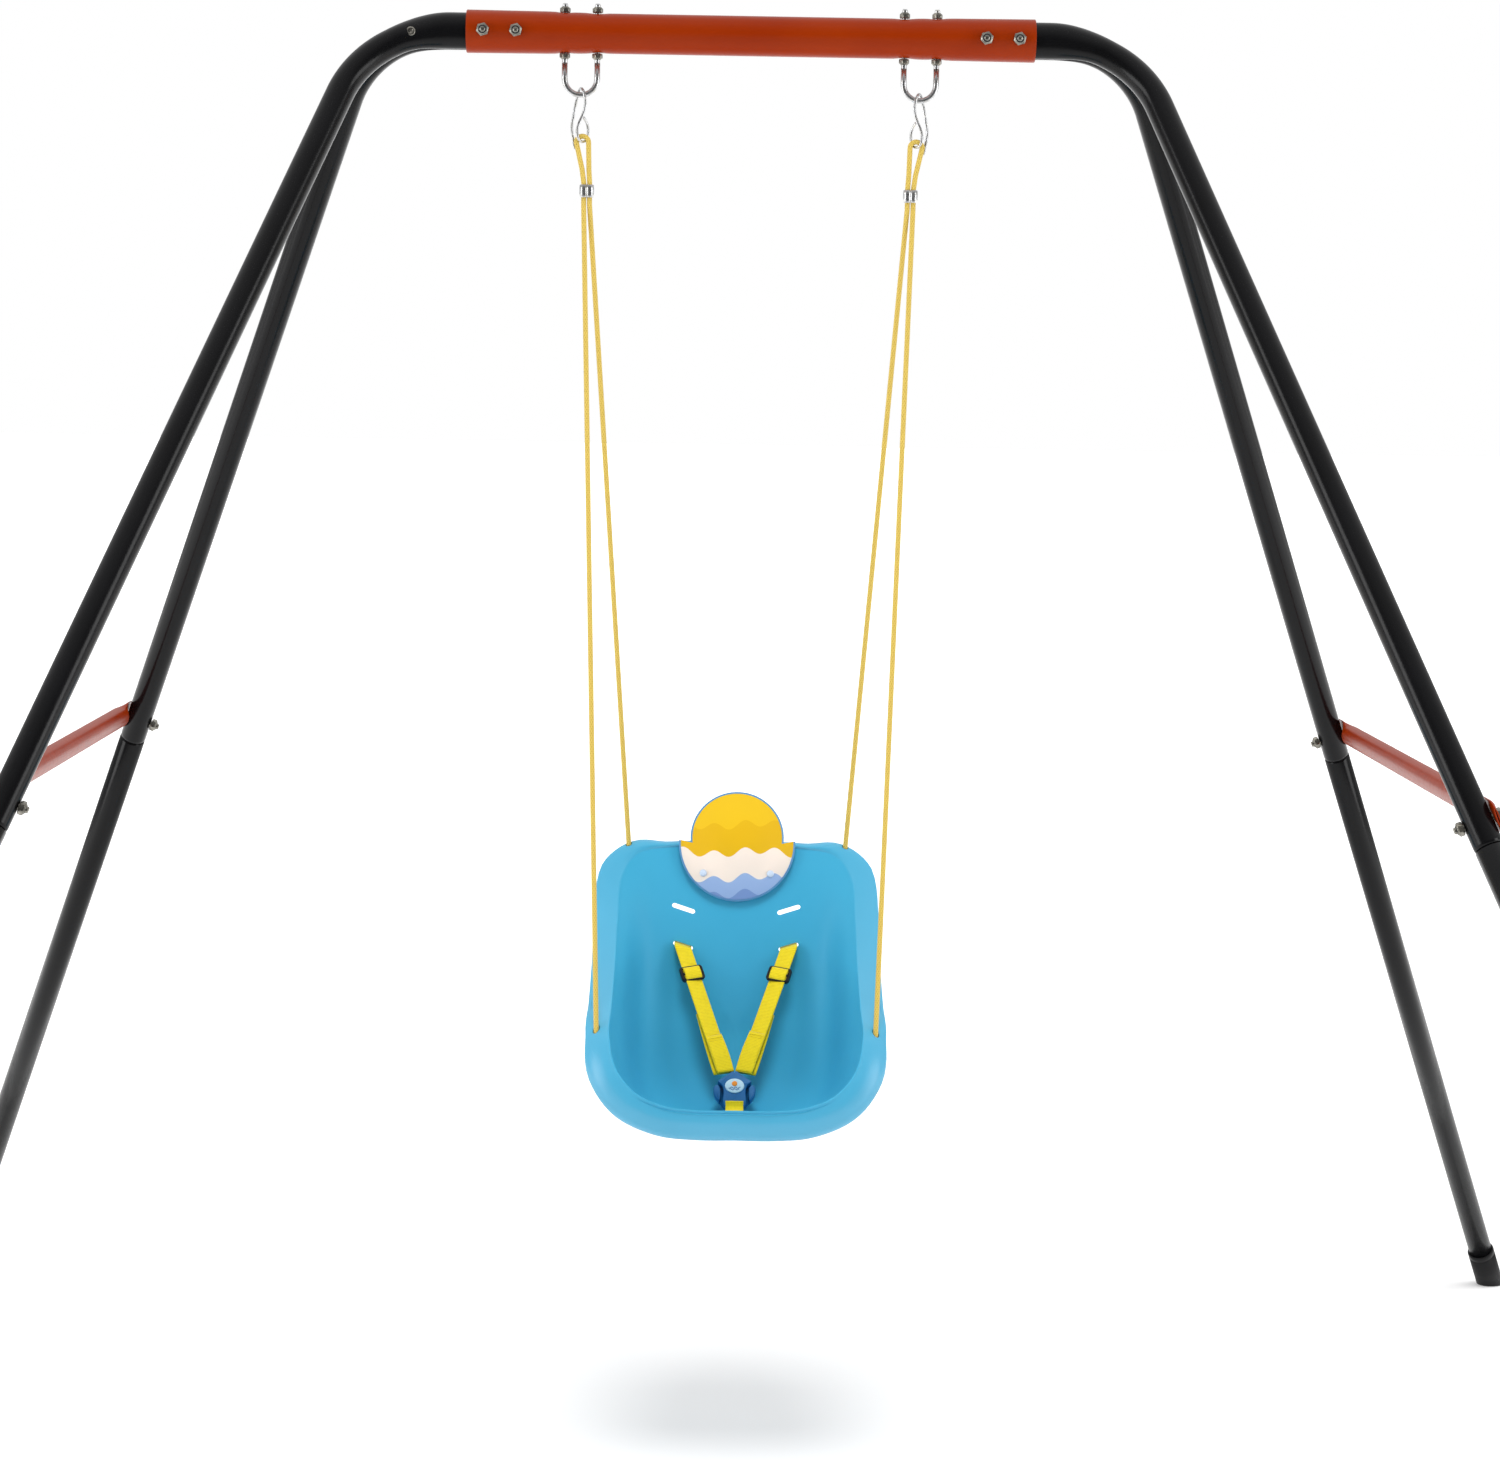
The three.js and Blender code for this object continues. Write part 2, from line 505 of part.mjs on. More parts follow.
// 1 where the rim slopes straight back from its crest, 0 where it faces forwards and then curls.
const RIM_SLANT = [0, 0, 0.5, 1, 1, 1, 1, 0.8, 0.35, 0.1, 0, 0, 0];

const seatRows = () => {
  const mirrored = (row) => [...row, ...row.slice(1, -1).reverse().map(([x, y, z]) => [-x, y, z])];
  const around = 48;
  const sample = (points, type) => {
    const curve = new THREE.CatmullRomCurve3(points.map((p) => V(...p)), true, type);
    return Array.from({ length: around }, (_, i) => curve.getPoint(i / around));
  };
  const ring = (row) => sample(mirrored(row), "centripetal");
  const crest = ring(CREST);
  const rims = CREST.map((_, i) => [RIM_WIDTH[i], RIM_BACK[i], RIM_SLANT[i]]);
  const rimAt = sample([...rims, ...rims.slice(1, -1).reverse()], "catmullrom");
  // A row of the rim: part of its width, and part of its depth where it curls and where it slants.
  const flange = (widthPart, curled, slanted) => crest.map((p, i) => {
    const before = crest[(i + around - 1) % around];
    const after = crest[(i + 1) % around];
    const along = after.clone().sub(before).normalize();
    const out = V(along.z, 0, -along.x).normalize();
    if (out.x * p.x + out.z * (p.z - SEAT_MIDDLE_Z) < 0) out.negate();
    const { x: width, y: back, z: slant } = rimAt[i];
    const backPart = curled + (slanted - curled) * slant;
    return p.clone().addScaledVector(out, width * widthPart).add(V(0, back * backPart, 0));
  });
  return {
    rows: [
      flange(0.96, 1, 1), flange(1, 0.5, 0.8), flange(0.8, 0.1, 0.58), flange(0.45, -0.06, 0.28), crest,
      ring(WALL), ring(CORNER), ring(PANEL),
    ],
    middle: V(...PANEL_MIDDLE),
  };
};

const shell = (rows, middle, wall) => {
  const around = rows[0].length;
  const normals = rows.map((row, j) => row.map((p, i) => {
    const across = row[(i + 1) % around].clone().sub(row[(i + around - 1) % around]);
    const inward = (rows[j + 1] ? rows[j + 1][i] : middle).clone().sub(j ? rows[j - 1][i] : p);
    return across.cross(inward).normalize();
  }));
  const behind = normals[4][0].y > 0 ? 1 : -1;
  const offset = (p, j, i) => p.clone().addScaledVector(normals[j][i], behind * wall);
  const back = rows.map((row, j) => row.map((p, i) => offset(p, j, i)));
  const points = [];
  const index = [];
  const put = (p) => points.push(p.x, p.y, p.z) / 3 - 1;
  const skins = [rows, back].map((skin) => skin.map((row) => row.map(put)));
  const poles = [put(middle), put(middle.clone().add(V(0, wall * 0.97, -wall * 0.25)))];
  skins.forEach((skin, s) => {
    const face = (a, b, c) => index.push(...(s ? [a, c, b] : [a, b, c]));
    for (let i = 0; i < around; i += 1) {
      const n = (i + 1) % around;
      for (let j = 0; j < skin.length - 1; j += 1) {
        face(skin[j][i], skin[j][n], skin[j + 1][i]);
        face(skin[j][n], skin[j + 1][n], skin[j + 1][i]);
      }
      face(skin[skin.length - 1][i], skin[skin.length - 1][n], poles[s]);
    }
  });
  for (let i = 0; i < around; i += 1) {
    const n = (i + 1) % around;
    index.push(skins[0][0][i], skins[1][0][i], skins[0][0][n]);
    index.push(skins[0][0][n], skins[1][0][i], skins[1][0][n]);
  }
  const geometry = new THREE.BufferGeometry();
  geometry.setAttribute("position", new THREE.Float32BufferAttribute(points, 3));
  geometry.setIndex(index);
  return facingOut(geometry);
};

{
  const { rows, middle } = seatRows();
  const tools = [];
  for (const sx of Object.values(sides)) {
    for (const z of [UPPER_SLOT_Z, STRAP_TOP[2]]) {
      tools.push(new THREE.BoxGeometry(STRAP_WIDTH + 5.5, 60, SLOT_HEIGHT).rotateY(sx * -SLOT_TILT)
        .translate(sx * STRAP_TOP[0], SLOT_Y, z));
    }
    for (const [hole, strand] of [[FRONT_HOLE, STRAND_OFFSET], [REAR_HOLE, -STRAND_OFFSET]]) {
      const top = V(sx * (FERRULE_X + strand), 0, FERRULE_Z.bottom - 5);
      const at = V(sx * hole[0], hole[1], hole[2]);
      tools.push(rod(ROPE_RADIUS + 0.9, 44, at, top.clone().sub(at)));
    }
  }
  tools.push(new THREE.BoxGeometry(STRAP_WIDTH + 4, 5, 40).translate(...CROTCH_SLOT));
  add("seat_shell", cut(shell(rows, middle, SEAT_WALL), ...tools), bluePlastic);
}

// ---- Badge on the back -------------------------------------------------------
const badgeNormal = V(0, -Math.cos(BADGE_TILT), Math.sin(BADGE_TILT));
const onBadge = (x, up, out = 0) => V(...BADGE_CENTRE)
  .add(V(x, 0, 0))
  .addScaledVector(V(0, Math.sin(BADGE_TILT), Math.cos(BADGE_TILT)), up)
  .addScaledVector(badgeNormal, out);
{
  const outline = new THREE.Shape();
  outline.absarc(0, 0, 41.8, -0.12, Math.PI + 0.12, false);
  outline.absarc(0, -5, 52, Math.PI - 0.05, 2 * Math.PI + 0.05, false);
  const badge = new THREE.ExtrudeGeometry(outline, { depth: 2, bevelEnabled: false, curveSegments: 16 });
  badge.rotateX(Math.PI / 2 - BADGE_TILT).translate(...BADGE_CENTRE);
  const holes = [-1, 1].map((s) => rod(1.8, 20, onBadge(s * 30, -32), badgeNormal));
  add("seat_badge", cut(facingOut(bare(badge)), ...holes), palePlastic);
  for (const [sideName, sx] of Object.entries(sides)) {
    add(`badge_rivet_${sideName}`, rod(3, 1.6, onBadge(sx * 30, -32, 3.2), badgeNormal, 12), bluePlastic);
  }
}

// ---- Harness -----------------------------------------------------------------
const strapSection = [
  [-STRAP_WIDTH / 2, -STRAP_THICK / 2], [STRAP_WIDTH / 2, -STRAP_THICK / 2],
  [STRAP_WIDTH / 2, STRAP_THICK / 2], [-STRAP_WIDTH / 2, STRAP_THICK / 2],
];
const strap = (path, across) => sweep(path, () => strapSection, across);
for (const [sideName, sx] of Object.entries(sides)) {
  const top = V(sx * STRAP_TOP[0], STRAP_TOP[1], STRAP_TOP[2]);
  const bottom = V(sx * STRAP_BOTTOM[0], STRAP_BOTTOM[1], STRAP_BOTTOM[2]);
  const along = bottom.clone().sub(top).normalize();
  const behind = top.clone().add(V(0, 13, 1));
  const bend = top.clone().add(V(0, -6, -0.3));
  const start = bend.clone().addScaledVector(along, 6);
  const across = V(1, 0, sx * Math.tan(SLOT_TILT)).normalize();
  add(`shoulder_strap_${sideName}`, strap([behind, bend, start, bottom], across), yellowWebbing);

  // A ladder adjuster: a frame that the strap runs through.
  const run = bottom.clone().sub(start).normalize();
  const place = start.clone().addScaledVector(run, 22);
  const side = across.clone().addScaledVector(run, -across.dot(run)).normalize();
  const frame = new THREE.BoxGeometry(STRAP_WIDTH + 6.4, 13, 4.6);
  const slot = new THREE.BoxGeometry(STRAP_WIDTH + 2, 40, STRAP_THICK + 1.5);
  const window = new THREE.BoxGeometry(STRAP_WIDTH + 2, 8, 20);
  const basis = new THREE.Matrix4().makeBasis(side, run, side.clone().cross(run)).setPosition(place);
  add(`strap_adjuster_${sideName}`, cut(frame.applyMatrix4(basis), slot.applyMatrix4(basis),
    window.applyMatrix4(basis)), blackPlastic);
}

// ---- Buckle ------------------------------------------------------------------
// Right halves of the outlines, from top to bottom: the body has a hollow in its
// side for a squeeze tab, and the tab is a crescent that can move 2 mm into it.
const BODY_EDGE = [
  [1.3, 17], [14.6, 7.4], [15, 6.2], [11.6, 4], [9.9, 0.5], [9.6, -5], [10.4, -10.5], [8.8, -17],
];
const TAB_EDGE = [
  [14, 3.8], [16.2, 4], [18.2, 1.8], [18.5, -1.8], [17.8, -5.6], [16, -9], [13.6, -11.4],
  [12.7, -10.2], [12.1, -5], [12.3, 0.2],
];
const NOTCH_BOTTOM = 15.4;
const MEDALLION = { halfWidth: 8.2, halfHeight: 6.8, thick: 1, y: 2.2 };
const buckleTurn = new THREE.Matrix4().makeRotationX(-BUCKLE_RECLINE).setPosition(...BUCKLE_CENTRE);
const onBuckle = (geometry) => geometry.rotateX(Math.PI / 2).applyMatrix4(buckleTurn);
const plate = (outline, thick) =>
  new THREE.ExtrudeGeometry(new THREE.Shape(outline.map(([x, y]) => new THREE.Vector2(x, y))),
    { depth: thick, bevelEnabled: false }).translate(0, 0, -thick / 2);
{
  const { halfHeight: h, thick } = BUCKLE;
  const leftEdge = BODY_EDGE.map(([x, y]) => [-x, y]).reverse();
  const body = plate([[0, NOTCH_BOTTOM], ...BODY_EDGE, ...leftEdge], thick);
  add("buckle_body", facingOut(bare(onBuckle(body))), navyPlastic);

  for (const [sideName, sx] of Object.entries(sides)) {
    const tab = plate(TAB_EDGE.map(([x, y]) => [sx * x, y]), thick - 1.5);
    add(`buckle_tab_${sideName}`, facingOut(bare(onBuckle(tab))), navyPlastic);
  }

  const medallion = new THREE.CylinderGeometry(1, 1, 1, 20).rotateX(Math.PI / 2)
    .scale(MEDALLION.halfWidth, MEDALLION.halfHeight, MEDALLION.thick)
    .translate(0, MEDALLION.y, thick / 2 + MEDALLION.thick / 2 + GAP);
  add("buckle_medallion", onBuckle(medallion), palePlastic);

  const pan = V(...CROTCH_SLOT).add(V(0, 0, -10));
  const lower = V(0, -h - 1, 0).applyMatrix4(new THREE.Matrix4().makeRotationX(Math.PI / 2))
    .applyMatrix4(buckleTurn);
  add("crotch_strap", strap([lower, pan.clone().add(V(0, 1, 16)), pan], V(1, 0, 0)), yellowWebbing);
}

export default group;
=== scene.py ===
# Toddler swing set: looks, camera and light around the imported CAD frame. Metres, +Z up.
import math

import bmesh
import bpy
import numpy as np
from mathutils import Matrix, Vector


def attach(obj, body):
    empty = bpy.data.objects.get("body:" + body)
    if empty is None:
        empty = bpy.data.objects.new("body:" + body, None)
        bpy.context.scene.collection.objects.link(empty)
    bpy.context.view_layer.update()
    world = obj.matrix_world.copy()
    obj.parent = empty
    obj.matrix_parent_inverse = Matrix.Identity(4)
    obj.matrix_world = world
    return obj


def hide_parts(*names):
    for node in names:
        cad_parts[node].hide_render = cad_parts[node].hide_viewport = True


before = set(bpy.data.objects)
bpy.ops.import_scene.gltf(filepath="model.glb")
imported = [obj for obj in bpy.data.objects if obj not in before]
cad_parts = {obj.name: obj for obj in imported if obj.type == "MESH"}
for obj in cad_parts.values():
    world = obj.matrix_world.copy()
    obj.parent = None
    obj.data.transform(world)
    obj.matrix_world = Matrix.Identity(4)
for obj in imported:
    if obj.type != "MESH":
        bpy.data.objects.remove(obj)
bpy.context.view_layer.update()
scene = bpy.context.scene
MM = 0.001
SIDES = {"left": -1, "right": 1}
ENDS = {"front": -1, "rear": 1}

# ---- Sizes, in millimetres, shared with the CAD model
BAR_HEIGHT = 1240
BAR_HALF_LENGTH = 242
BAR_RADIUS = 16.9
BAR_END_RADIUS = 18.2
BAR_WALL = 1.4
TUBE_RADIUS = 12
TUBE_WALL = 1.2
FOOT_X, FOOT_Y = 818.5, 662.5
LEG_SLOPE_X, LEG_SLOPE_Y = 0.3994, 0.5292
BEND_RADIUS = 96
HALF_ROUND_HEIGHT, HALF_ROUND_DEPTH, HALF_ROUND_FLAT = 15.5, 12.7, 1.9
LEG_INSERT_X = 186
SPIGOT_TOP_Z = 646
ROUND_AT_ANGLE = math.radians(32)
LEG_JOINT_Z = 596
TUBE_END_Z = 13
CAP_RADIUS, CAP_LENGTH = 13.8, 46
BRACE_Z = 615
BRACE_RADIUS, BRACE_FLAT_HALF, BRACE_FLAT_THICK = 9.5, 13.5, 1.6
GAP = 0.3
NUT_HALF_M6, NUT_HALF_M5 = 5, 4
NUT_HEIGHT_M6, NUT_HEIGHT_M5 = 5, 4.4
HEAD_HEIGHT = 4
BOLT_RADIUS = 2.95
BAR_BOLT_X = {"inner": 199.5, "outer": 227.5}
U_BOLT_X, U_BOLT_RADIUS, U_BOLT_WIRE = 144.6, 13.85, 2.5
U_BOLT_BOTTOM_Z, U_BOLT_TOP_Z = 1188, 1265
HOOK_WIRE = 1.2
ROPE_RADIUS = 2.2
ROPE_TOP_Z, ROPE_LOOP = 1153.3, 5.2
ROPE_LOOP_X = U_BOLT_X - 2
FERRULE_BOTTOM, FERRULE_TOP, FERRULE_X, STRAND_OFFSET = 1101, 1113, 138.5, 2.5
SEAT_WALL = 3
FRONT_HOLE = (119.5, -73, 393)
REAR_HOLE = (97, 89.5, 534)
STRAP_WIDTH, STRAP_THICK = 15, 1.5
STRAP_TOP = Vector((47, 64, 446))
STRAP_BOTTOM = Vector((8.1, -15.2, 346.8))
UPPER_SLOT_Z, SLOT_Y, SLOT_HEIGHT = 478, 71, 4.2
SLOT_TILT = math.radians(18)
CROTCH_SLOT_Y = -51
ADJUSTER_DOWN = 22      # from the strap's bend to the ladder adjuster
BUCKLE_CENTRE = Vector((0, -23, 333))
BUCKLE_RECLINE = math.radians(34)
BUCKLE_HALF_HEIGHT, BUCKLE_THICK = 17, 9
BADGE_CENTRE = Vector((0, 88, 540))
BADGE_TILT = math.radians(15)
BADGE_DISC_RADIUS, BADGE_BOWL_RADIUS, BADGE_BOWL_DROP = 41.8, 52, 5


# ---- Materials
def srgb(r, g, b):
    """Linear colour from 0 to 255 screen values."""
    linear = (c / 255 / 12.92 if c < 10.3 else ((c / 255 + 0.055) / 1.055) ** 2.4 for c in (r, g, b))
    return tuple(linear) + (1,)


class Mat:
    """A small helper that builds a node material around one Principled shader."""

    def __init__(self, name):
        self.material = bpy.data.materials.new(name)
        self.material.use_nodes = True
        self.tree = self.material.node_tree
        self.shader = self.tree.nodes["Principled BSDF"]

    def node(self, kind, **values):
        made = self.tree.nodes.new(kind)
        for key, value in values.items():
            if key in made.inputs:
                made.inputs[key].default_value = value
            else:
                setattr(made, key, value)
        return made

    def link(self, a, b):
        self.tree.links.new(a, b)

    def coords(self, scale=(1, 1, 1)):
        source = self.node("ShaderNodeTexCoord")
        mapping = self.node("ShaderNodeMapping")
        mapping.inputs["Scale"].default_value = scale
        self.link(source.outputs["Object"], mapping.inputs["Vector"])
        return mapping.outputs["Vector"]

    def noise(self, scale, detail=4, stretch=(1, 1, 1), roughness=0.5):
        made = self.node("ShaderNodeTexNoise", Scale=scale, Detail=detail, Roughness=roughness)
        self.link(self.coords(stretch), made.inputs["Vector"])
        return made.outputs["Fac"]

    def ramp(self, value, stops):
        made = self.node("ShaderNodeValToRGB")
        ramp = made.color_ramp
        while len(ramp.elements) < len(stops):
            ramp.elements.new(0.5)
        for element, (position, colour) in zip(ramp.elements, stops):
            element.position = position
            element.color = colour
        self.link(value, made.inputs["Fac"])
        return made.outputs["Color"]

    def math(self, operation, a, b=0.0, c=0.0):
        made = self.node("ShaderNodeMath", operation=operation)
        for slot, value in zip(made.inputs, (a, b, c)):
            if isinstance(value, (int, float)):
                slot.default_value = value
            else:
                self.link(value, slot)
        return made.outputs["Value"]

    def bump(self, height, strength, distance):
        made = self.node("ShaderNodeBump", Strength=strength, Distance=distance)
        self.link(height, made.inputs["Height"])
        self.link(made.outputs["Normal"], self.shader.inputs["Normal"])

    def uv(self):
        """The mesh's own coordinates, as two outputs."""
        parts = self.node("ShaderNodeSeparateXYZ")
        self.link(self.node("ShaderNodeUVMap").outputs["UV"], parts.inputs["Vector"])
        return parts.outputs["X"], parts.outputs["Y"]

    def rough(self, value, stops):
        """Roughness that follows a pattern, from (position, roughness) stops."""
        grey = self.ramp(value, [(position, (level, level, level, 1)) for position, level in stops])
        self.link(grey, self.shader.inputs["Roughness"])

    def set(self, **values):
        for key, value in values.items():
            self.shader.inputs[key.replace("_", " ")].default_value = value

    def colour(self, output):
        self.link(output, self.shader.inputs["Base Color"])


def painted(name, light, dark, roughness, fleck, shine):
    """Gloss paint over steel: slow colour change, orange-peel bump, fine scuffs in the gloss."""
    m = Mat(name)
    m.colour(m.ramp(m.noise(14, 6), [(0.3, dark), (0.7, light)]))
    m.rough(m.noise(260, 8, (1, 1, 0.25), 0.7), [(0.45, roughness), (0.75, roughness + fleck)])
    m.bump(m.noise(420, 3), 0.10, 0.0004)
    m.set(Specular_IOR_Level=shine)
    return m.material


def plated(name, dark, tint, light, roughness):
    """Zinc plating: cool and warm patches with fine drawn scratches."""
    m = Mat(name)
    m.colour(m.ramp(m.noise(160, 5), [(0.3, dark), (0.55, tint), (0.8, light)]))
    m.rough(m.noise(900, 6), [(0.3, roughness), (0.7, roughness + 0.22)])
    m.bump(m.noise(1400, 4), 0.15, 0.0002)
    m.set(Metallic=1.0)
    return m.material


def moulded(name, light, dark, roughness, grain=900, bump=0.12, shine=0.45):
    """Blow-moulded plastic: faint cloudiness and a fine leathery skin."""
    m = Mat(name)
    m.colour(m.ramp(m.noise(9, 5), [(0.3, dark), (0.7, light)]))
    m.rough(m.noise(60, 6), [(0.3, roughness - 0.05), (0.7, roughness + 0.08)])
    m.bump(m.noise(grain, 5), bump, 0.0003)
    m.set(Specular_IOR_Level=shine)
    return m.material


def seat_plastic(name, light, dark):
    """Blow-moulded plastic with a smoother rim: the mesh's own coordinates say what is rim."""
    m = Mat(name)
    rim = m.uv()[1]
    m.colour(m.ramp(m.noise(9, 5), [(0.3, dark), (0.7, light)]))
    cloud = m.math("MULTIPLY", m.noise(60, 6), 0.1)
    m.link(m.math("ADD", m.math("MULTIPLY_ADD", rim, -0.14, 0.44), cloud), m.shader.inputs["Roughness"])
    m.link(m.math("MULTIPLY_ADD", rim, 0.62, 0.26), m.shader.inputs["Specular IOR Level"])
    m.bump(m.noise(900, 5), 0.12, 0.0003)
    return m.material


def braided(name, light, dark):
    """Cord: two crossing sets of diagonal strands, worked out from the place along the cord; the colour is
    painted shade, darker in the grooves between strands.
    """
    m = Mat(name)
    around, along = m.uv()
    strands = []
    for sign in (1, -1):
        slant = m.math("MULTIPLY_ADD", around, 6.0 * sign, m.math("MULTIPLY", along, 260.0))
        strands.append(m.math("ABSOLUTE", m.math("SINE", m.math("MULTIPLY", slant, math.pi))))
    weave_and_groove_shade = m.math("MAXIMUM", strands[0], strands[1])
    # Painted shade: the colour darkens between the strands and lightens on their crests, following the same
    # relief as the bump.
    m.colour(m.ramp(weave_and_groove_shade, [(0.35, dark), (0.9, light)]))
    m.bump(weave_and_groove_shade, 0.42, 0.0005)
    m.set(Roughness=0.72, Sheen_Weight=0.3, Sheen_Roughness=0.4, Specular_IOR_Level=0.3)
    return m.material


def woven(name, light, dark):
    """Webbing: ribs across and chevron rows along the strap, from its own flat coordinates; the colour mixes
    random mottle with painted shade in the grooves of the weave.
    """
    m = Mat(name)
    across, along = m.uv()
    ribs = m.math("ABSOLUTE", m.math("SINE", m.math("MULTIPLY", along, 2200.0)))
    rows = m.math("ABSOLUTE", m.math("SINE", m.math("MULTIPLY", across, 2 * math.pi * 6)))
    weave_and_groove_shade = m.math("MULTIPLY_ADD", ribs, 0.6, m.math("MULTIPLY", rows, 0.4))
    # Partly real, partly painted: random mottle plus painted shade that darkens the grooves between ribs and
    # rows.
    mottle_and_groove_shade = m.math("MULTIPLY_ADD", m.noise(240, 5), 0.5, m.math("MULTIPLY", weave_and_groove_shade, 0.75))
    m.colour(m.ramp(mottle_and_groove_shade, [(0.25, dark), (0.8, light)]))
    m.bump(weave_and_groove_shade, 0.55, 0.0004)
    m.set(Roughness=0.7, Sheen_Weight=0.35, Sheen_Roughness=0.4, Specular_IOR_Level=0.3)
    return m.material


def badge_print(name):
    """A generic print: a yellow sky over a cream sun-lit band and lilac waves, in the plate's own plane."""
    m = Mat(name)
    parts = m.node("ShaderNodeSeparateXYZ")
    m.link(m.coords(), parts.inputs["Vector"])
    x, z = parts.outputs["X"], parts.outputs["Z"]
    wave = m.math("MULTIPLY", m.math("SINE", m.math("MULTIPLY", x, 230.0)), 0.0032)
    swell = m.math("MULTIPLY", m.math("SINE", m.math("MULTIPLY", x, 75.0)), 0.002)
    level = m.math("MULTIPLY_ADD", m.math("SUBTRACT", z, m.math("ADD", wave, swell)), 10.0, -4.9)
    bands = m.ramp(level, [
        (0.0, srgb(120, 150, 205)), (0.02, srgb(150, 178, 222)), (0.16, srgb(240, 226, 214)),
        (0.38, srgb(222, 176, 16)), (0.62, srgb(230, 188, 26)),
    ])
    bands.node.color_ramp.interpolation = "CONSTANT"
    m.colour(bands)
    m.bump(m.noise(700, 3), 0.04, 0.0002)
    m.set(Roughness=0.5, Specular_IOR_Level=0.3)
    return m.material


ORANGE = painted("orange_paint", srgb(146, 45, 0), srgb(138, 39, 0), 0.3, 0.08, 0.13)
BLACK = painted("black_paint", srgb(13, 13, 15), srgb(10, 10, 11), 0.2, 0.08, 0.22)
ZINC = plated("zinc_plate", srgb(120, 117, 110), srgb(156, 153, 144), srgb(182, 176, 160), 0.2)
BRIGHT = plated("bright_wire", srgb(188, 187, 182), srgb(216, 217, 219), srgb(228, 225, 215), 0.2)
CAP = moulded("cap_rubbery_plastic", srgb(19, 18, 20), srgb(12, 12, 13), 0.45, shine=0.2)
NYLON = moulded("nut_ring_nylon", srgb(38, 38, 44), srgb(28, 28, 33), 0.5, 1500)
SEAT = seat_plastic("seat_plastic", srgb(66, 168, 206), srgb(59, 162, 200))
NAVY = moulded("buckle_plastic", srgb(38, 108, 162), srgb(30, 94, 148), 0.38, 1500)
ADJUSTER = moulded("adjuster_plastic", srgb(26, 22, 22), srgb(16, 14, 14), 0.36, 1500)
RIVET = moulded("rivet_plastic", srgb(206, 220, 238), srgb(188, 206, 230), 0.3, 1500)
BADGE = badge_print("badge_print")
BADGE_EDGE = moulded("badge_edge", srgb(92, 150, 196), srgb(80, 138, 186), 0.35, 1500)
MEDAL = moulded("medallion_print", srgb(198, 226, 236), srgb(170, 208, 226), 0.25, 1500)
MEDAL_SUN = moulded("medallion_sun", srgb(240, 150, 50), srgb(228, 132, 40), 0.3, 1500)
ROPE = braided("yellow_cord", srgb(216, 188, 92), srgb(190, 158, 66))
WEBBING = woven("yellow_webbing", srgb(240, 216, 28), srgb(204, 176, 10))
STITCH = moulded("stitching", srgb(206, 182, 30), srgb(188, 160, 22), 0.7, 1500)


# ---- Mesh helpers
def mix(a, b, t):
    return a + (b - a) * t


def eased(t):
    """Zero to one with level ends."""
    return t * t * (3 - 2 * t)


def turns(count):
    """Even angles once round a circle."""
    return [2 * math.pi * i / count for i in range(count)]


def oval(centre, side, up, wide, high, count):
    """Points round an ellipse, from its centre, two directions and half sizes."""
    return [centre + side * wide * math.cos(angle) + up * high * math.sin(angle) for angle in turns(count)]


def rotated(outline, tilt):
    """The outline turned in its own plane."""
    c, s = math.cos(tilt), math.sin(tilt)
    return [(x * c - z * s, x * s + z * c) for x, z in outline]


def mirrored(half_outline):
    """The other half of an outline, in the order that closes it."""
    return [(-x, z) for x, z in reversed(half_outline)]


def make(name, vertices, faces, material, smooth=True, uvs=None):
    """An object from millimetre vertices, its faces turned outwards."""
    mesh = bpy.data.meshes.new(name)
    mesh.from_pydata([tuple(Vector(v) * MM) for v in vertices], [], faces)
    mesh.materials.append(material)
    if uvs is not None:
        layer = mesh.uv_layers.new(name="UVMap")
        for loop in mesh.loops:
            layer.data[loop.index].uv = uvs[loop.vertex_index]
    tidy = bmesh.new()
    tidy.from_mesh(mesh)
    bmesh.ops.recalc_face_normals(tidy, faces=tidy.faces)
    tidy.to_mesh(mesh)
    tidy.free()
    for polygon in mesh.polygons:
        polygon.use_smooth = smooth
    thing = bpy.data.objects.new(name, mesh)
    scene.collection.objects.link(thing)
    return thing


def apply_modifiers(thing):
    depsgraph = bpy.context.evaluated_depsgraph_get()
    depsgraph.update()
    mesh = bpy.data.meshes.new_from_object(thing.evaluated_get(depsgraph))
    thing.modifiers.clear()
    thing.data = mesh


def bevel(thing, width, segments, angle):
    """Rounds the edges that are sharper than the angle."""
    made = thing.modifiers.new("bevel", "BEVEL")
    made.width = width * MM
    made.segments = segments
    made.limit_method = "ANGLE"
    made.angle_limit = math.radians(angle)
    made.harden_normals = False
    apply_modifiers(thing)


def band(a, b, count):
    """The faces between two rings of vertices that begin at a and at b."""
    return [(a + i, a + (i + 1) % count, b + (i + 1) % count, b + i) for i in range(count)]


def loft(name, outer, material, inner=None, uvs=None):
    """A closed skin through rings of points; a bore follows the inner rings."""
    count = len(outer[0])
    vertices = [p for ring in outer for p in ring]
    faces = []
    last = (len(outer) - 1) * count
    for k in range(len(outer) - 1):
        faces += band(k * count, (k + 1) * count, count)
    if inner:
        start = len(vertices)
        vertices += [p for ring in inner for p in ring]
        for k in range(len(inner) - 1):
            faces += band(start + k * count, start + (k + 1) * count, count)
        faces += band(0, start, count) + band(last, start + last, count)
    else:
        faces.append(tuple(range(count)))
        faces.append(tuple(range(last, last + count)))
    return make(name, vertices, faces, material, uvs=uvs)


def frames_along(path, first_side):
    """Side and up vectors along a path, turning as little as possible."""
    side = Vector(first_side)
    result = []
    for k, point in enumerate(path):
        along = (path[min(k + 1, len(path) - 1)] - path[max(k - 1, 0)]).normalized()
        side = (side - along * side.dot(along)).normalized()
        result.append((point, side, along.cross(side)))
    return result


